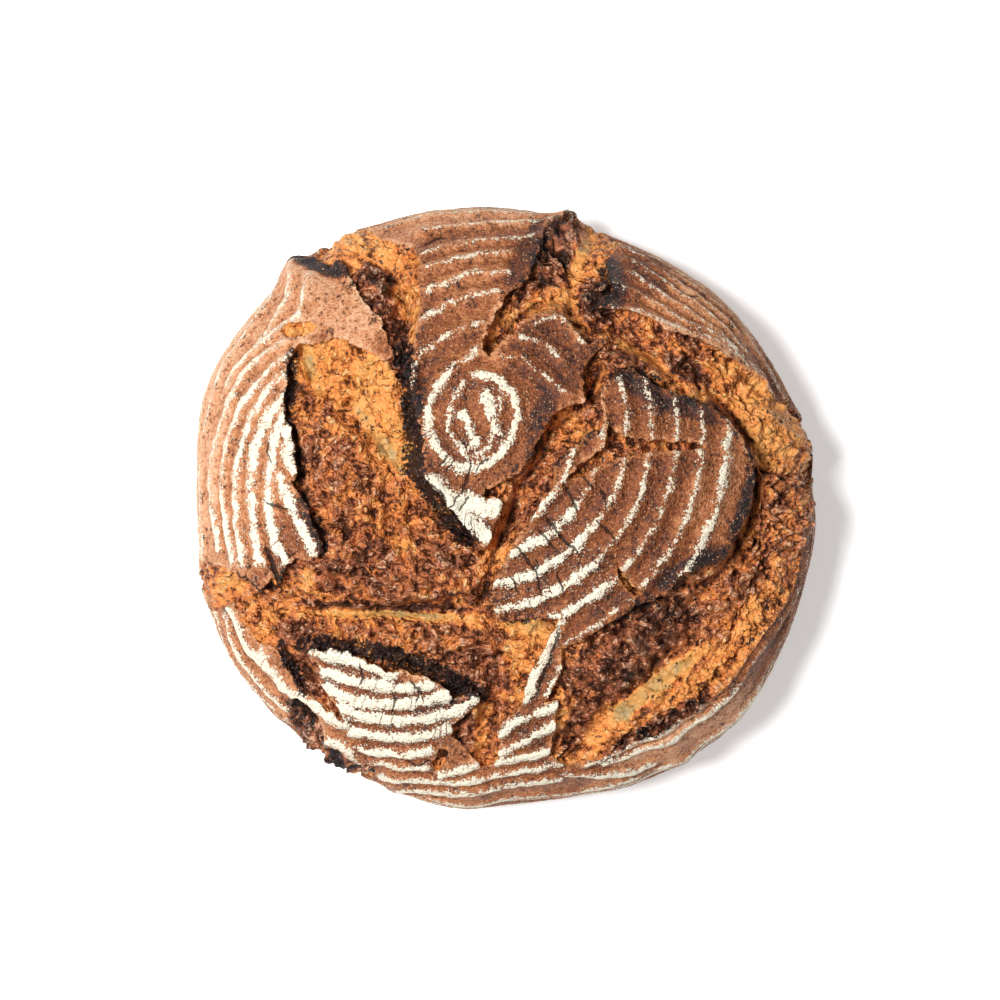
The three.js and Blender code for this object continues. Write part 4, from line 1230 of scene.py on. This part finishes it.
def ring_cracks(m):
    """1 in thin cracks that run across the flour rings, which lie round RING_MIDDLE: the noise that makes them
    is read on circles, one for each ring, so that it only changes along them."""
    out = m.add("ShaderNodeVectorMath", {0: m.place, 1: RING_MIDDLE}, operation="SUBTRACT").outputs[0]
    flat = m.add("ShaderNodeVectorMath", {0: out, 1: (1, 1, 0)}, operation="MULTIPLY").outputs[0]
    reach = m.add("ShaderNodeVectorMath", {0: flat}, operation="LENGTH").outputs["Value"]
    number = m.math("FLOOR", m.math("DIVIDE", reach, RING_PITCH))
    row = m.math("MULTIPLY_ADD", number, RING_PITCH, RING_PITCH / 2)
    inputs = {0: flat, "Scale": m.math("DIVIDE", row, reach)}
    circle = m.add("ShaderNodeVectorMath", inputs, operation="SCALE")
    wobble = m.add("ShaderNodeTexNoise", {"Vector": m.place, "Scale": 0.5, "Detail": 1.0}).outputs["Color"]
    bent = m.add("ShaderNodeVectorMath", {0: circle.outputs[0], 1: wobble}, operation="ADD")
    inputs = {"Vector": bent.outputs[0], "Scale": 1 / CRACK_PITCH, "Detail": 0.0}
    waves = m.add("ShaderNodeTexNoise", inputs).outputs["Fac"]
    return m.step(m.math("ABSOLUTE", m.math("SUBTRACT", waves, 0.5)), 0.022, 0.006)


def crust_look(m):
    """Colour, relief in mm and whiteness of the crust: brown with dark pores and pale grains, painted shade in
    hollows and ring troughs, thin flour dust, the rings' thick flour with cracks across it, and the drawn
    cracks."""
    away = m.value("ring")
    flour = m.value("flour")
    # painted shade: a darker band next to each flour ring, where the ridge's flank would lie in shade
    beside = m.math("MULTIPLY", m.step(away, 3.8, 1.2), m.math("MULTIPLY", flour, m.value("bake")))
    near_char = m.math("MULTIPLY", m.value("char"), m.sum((m.mid, 0.2), 0.5))
    # pocket darkens the crust in its hollows and the distance from the rings darkens the troughs: both painted
    # shade
    bake = m.sum(
        m.value("bake"), (m.broad, 0.14), (m.mid, 0.12), (m.fine, 0.15), (m.grain, 0.13),
        (m.value("pocket"), 0.3), (beside, 0.4), (near_char, 0.7), (m.step(away, 1.5, 4.5), 0.08), -0.03
    )
    colour = m.ramp(bake, CRUST_TONES)
    baked = m.step(m.value("bake"), 0.1, 0.6)
    pores = m.dots(1.9, 31, 0.26, m.sum((m.mid, 0.25), (m.broad, 0.2), (baked, 0.25), 0.05), m.bent)
    colour = m.mix(m.math("MULTIPLY", pores, 0.7), colour, linear(PORE_TONE))
    grains = m.dots(1.0, 32, 0.36, m.sum((m.mid, 0.2), (m.broad, 0.2), (flour, 0.2), 0.1), m.bent)
    colour = m.mix(m.math("MULTIPLY", grains, 0.7), colour, linear(GRAIN_TONE))
    far, pick = m.cells(0.9, 33, m.bent)
    granular = m.sum((far, -1.6), (pick, 1.4), (m.mid, 0.6), (m.grain, 0.3), (m.noise(7, 5), 0.9))
    ring = m.step(m.sum((flour, 1.7), (away, -1), granular), -0.1, 0.25)
    holes = m.dots(1.3, 34, 0.3, m.sum((m.mid, 0.2), (flour, -0.2), 0.35), m.bent)
    cracked = m.step(m.sum(m.noise(12, 8), (flour, 0.4)), 0.4, 0.8)
    broken_up = m.math("MAXIMUM", m.math("MULTIPLY", holes, 0.7), m.math("MULTIPLY", cracked, ring_cracks(m)))
    ring = m.math("MULTIPLY", ring, m.math("SUBTRACT", 1.0, m.math("MULTIPLY", broken_up, 0.85)))
    near_ring = m.step(away, 4.0, 0.8)
    dusty = m.sum((flour, 0.52), (m.broad, 0.25), (m.mid, 0.2), (near_ring, 0.35), -0.4)
    dust = m.math("MULTIPLY", m.dots(0.85, 35, 0.4, dusty, m.bent), m.sum((near_ring, 0.5), 0.3))
    white = m.math("MAXIMUM", ring, dust)
    colour = m.mix(white, colour, m.mix(flour, linear(CREAM_TONE), linear(FLOUR_TONE, FLOUR_LIGHT)))
    to_middle = m.math("ABSOLUTE", m.value("crack"))
    gap = m.sum(to_middle, (m.value("cracked"), -1), (m.fine, 0.25), (m.grain, 0.15))
    crack = m.step(gap, 0.12, -0.12)
    colour = m.mix(m.math("MULTIPLY", crack, 0.85), colour, linear(CRACK_TONE))
    relief = m.sum(
        (pores, -0.4), (grains, 0.15), (m.fine, 0.22), (m.grain, 0.12), (m.mid, 0.25), (white, 0.2),
        (crack, -0.8)
    )
    return colour, relief, white


def crumb_look(m):
    """Colour and relief in mm of the torn crumb: lumps of grains with painted shade in the recesses between
    them, in pores and under the lips, toasted and with painted glints on their crests, and calm and pale in
    the creases."""
    pocket = m.value("pocket")
    painted = m.value("toast")
    mottle = m.math("MULTIPLY", m.noise(6.5, 15, detail=3, roughness=0.65), m.step(painted, 0.2, 0.5))
    toast = m.sum(painted, (mottle, 0.3))
    rough = m.sum((m.step(toast, 0.1, 0.5), 0.65), 0.35)
    to_lump, lump_pick = m.cells(5, 11, m.bent)
    to_grain, grain_pick = m.cells(2.2, 12, m.bent)
    lumps = m.sum((to_lump, -2.0), (lump_pick, 0.4), 0.9)
    grains = m.sum((to_grain, -1.7), (grain_pick, 0.6), 0.64)
    openings = m.sum((m.noise(3.2, 14, detail=2), 0.8), (m.broad, 0.3), (m.fine, 0.3), (toast, 0.3))
    pores = m.step(openings, 0.85, 1.0)
    calm = m.step(m.noise(9, 16, detail=1), 0.0, 0.8)
    grains = m.math("MULTIPLY", grains, m.sum((calm, -0.75), 1.15))
    height = m.sum(lumps, grains, (m.mid, 0.35), (m.fine, 0.3), (pocket, -0.45), (pores, -1.2))
    crest = m.math("MULTIPLY", m.sum(height, (m.grain, 0.4), (m.fine, 0.25), (m.mid, 0.35)), rough)
    # the crests are also shifted a little paler, a part of the painted highlight
    browning = m.sum(toast, (m.broad, 0.17), (crest, -0.08), (rough, 0.06), (calm, -0.07))
    colour = m.ramp(browning, CRUMB_TONES, CRUMB_LIGHT)
    # painted highlight: crests above a height get a glint colour, pinkish on toasted crumb
    glint = m.mix(m.step(toast, 0.3, 0.6), linear(CRUMB_GLINT, CRUMB_LIGHT), linear(TOAST_GLINT, CRUMB_LIGHT))
    colour = m.mix(m.math("MULTIPLY", m.step(crest, 0.45, 1.3), 0.75), colour, glint)
    # painted shade under the plates' lips and shelves, where the crumb lies deep below its surroundings
    under = m.math("MULTIPLY", m.step(m.value("hollow"), 1.5, 4.5), m.step(toast, 0.1, 0.3))
    # painted shade in the recesses between the lumps and inside the pores, added to the shade under the lips
    dark = m.math("MAXIMUM", m.step(crest, -0.1, -0.95), m.math("MAXIMUM", under, pores))
    colour = m.mix(m.math("MULTIPLY", dark, 0.9), colour, linear(PAINTED_SHADE_TONE))
    return colour, m.math("MULTIPLY", height, rough)


def loaf_material():
    """Crust on the plates and crumb in the tears, with char over both."""
    m = Nodes("loaf")
    m.grain = m.noise(0.7, 1, detail=1)
    m.fine = m.noise(1.4, 2, detail=1, roughness=0.6)
    m.mid = m.noise(3.4, 3, detail=2, roughness=0.6)
    m.broad = m.noise(11, 4, detail=2, roughness=0.6)
    wobble = m.add("ShaderNodeTexNoise", {"Vector": m.place, "Scale": 0.9, "Detail": 1.0}).outputs["Color"]
    bending = m.add("ShaderNodeVectorMath", {0: wobble, 1: (1.2,) * 3, 2: m.place}, operation="MULTIPLY_ADD")
    m.bent = bending.outputs[0]
    crust, crust_relief, white = crust_look(m)
    crumb, crumb_relief = crumb_look(m)
    torn = m.step(m.sum(m.value("edge"), (m.fine, 0.4), (m.grain, 0.3), (m.mid, 0.25)), -0.15, 0.15)
    colour = m.mix(torn, crust, crumb)
    patchy = m.sum(m.value("char"), (m.broad, 0.3), (m.mid, 0.6), (m.fine, 0.55), (m.grain, 0.3))
    burnt = m.step(patchy, 0.4, 0.75)
    burn = m.mix_values(torn, m.math("MULTIPLY", burnt, m.sum((white, -0.9), 0.9)), burnt)
    crumbs = m.step(m.sum((m.fine, 0.9), (m.grain, 0.7), (m.mid, 0.4)), 0.7, 1.6)
    char = m.mix(crumbs, linear(CHAR_TONE), linear(CHAR_LIGHT))
    colour = m.mix(m.math("MULTIPLY", burn, 0.97), colour, char)
    relief = m.mix_values(torn, crust_relief, crumb_relief)
    bump = m.add("ShaderNodeBump", {"Height": relief, "Distance": MM, "Strength": 1.0})
    roughness = m.mix_values(torn, m.sum((white, 0.2), 0.6), m.sum((m.fine, 0.1), 0.45))
    shader = m.add(
        "ShaderNodeBsdfPrincipled",
        {"Base Color": colour, "Roughness": roughness, "Normal": bump.outputs[0], "Specular IOR Level": 0.28},
    )
    m.add("ShaderNodeOutputMaterial", {"Surface": shader.outputs[0]})
    return m.material


# ---- Stage ------------------------------------------------------------------------------------------------
EYE_HEIGHT = RIM_HEIGHT + MAP_EYE
PICTURE_WIDTH = 1000 * UNIT  # what the camera sees across at the rim's level
PICTURE_MIDDLE = np.array([500.0, 500.0])  # on the map
SENSOR = 36
FLOOR_HALF = 6
FLOOR_LEVEL = -0.0003  # just under the base
FLOOR_GLOW = 0.37  # light that the floor gives off itself, which keeps it white
KEY_PLACE = (-0.56, 0.06, 1.46)  # high on the left
KEY_SIZE = 0.45
KEY_POWER = 34
SKY = 0.26
WHITE = (1, 1, 1, 1)


def add_camera(shift):
    data = bpy.data.cameras.new("camera")
    data.sensor_width = SENSOR
    data.lens = SENSOR * MAP_EYE / PICTURE_WIDTH
    data.clip_end = 20
    camera = bpy.data.objects.new("camera", data)
    across, down = (PICTURE_MIDDLE - MAP_CENTRE) * UNIT
    camera.location = Vector((across + shift[0], shift[1] - down, EYE_HEIGHT)) * MM
    bpy.context.scene.collection.objects.link(camera)
    bpy.context.scene.camera = camera


def add_area(name, location, size, energy):
    data = bpy.data.lights.new(name, "AREA")
    data.shape = "DISK"
    data.size = size
    data.energy = energy
    light = bpy.data.objects.new(name, data)
    light.location = location
    light.rotation_euler = (-Vector(location)).to_track_quat("-Z", "Y").to_euler()
    bpy.context.scene.collection.objects.link(light)


def add_stage():
    mesh = bpy.data.meshes.new("floor")
    corners = [(x * FLOOR_HALF, y * FLOOR_HALF, FLOOR_LEVEL) for x, y in ((-1, -1), (1, -1), (1, 1), (-1, 1))]
    mesh.from_pydata(corners, [], [(0, 1, 2, 3)])
    floor = bpy.data.objects.new("floor", mesh)
    material = bpy.data.materials.new("floor")
    material.use_nodes = True
    shader = material.node_tree.nodes["Principled BSDF"]
    shader.inputs["Base Color"].default_value = (0.94, 0.94, 0.94, 1)
    shader.inputs["Roughness"].default_value = 0.9
    shader.inputs["Emission Color"].default_value = WHITE
    shader.inputs["Emission Strength"].default_value = FLOOR_GLOW
    mesh.materials.append(material)
    bpy.context.scene.collection.objects.link(floor)
    add_area("key", KEY_PLACE, KEY_SIZE, KEY_POWER)
    world = bpy.data.worlds.new("world")
    bpy.context.scene.world = world
    world.use_nodes = True
    background = world.node_tree.nodes["Background"]
    background.inputs["Color"].default_value = WHITE
    background.inputs["Strength"].default_value = SKY
    bpy.context.scene.view_settings.view_transform = "Standard"


loaf, shift = make_loaf()
loaf.data.materials.append(loaf_material())
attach(loaf, "root")
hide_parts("loaf")
add_stage()
add_camera(shift)
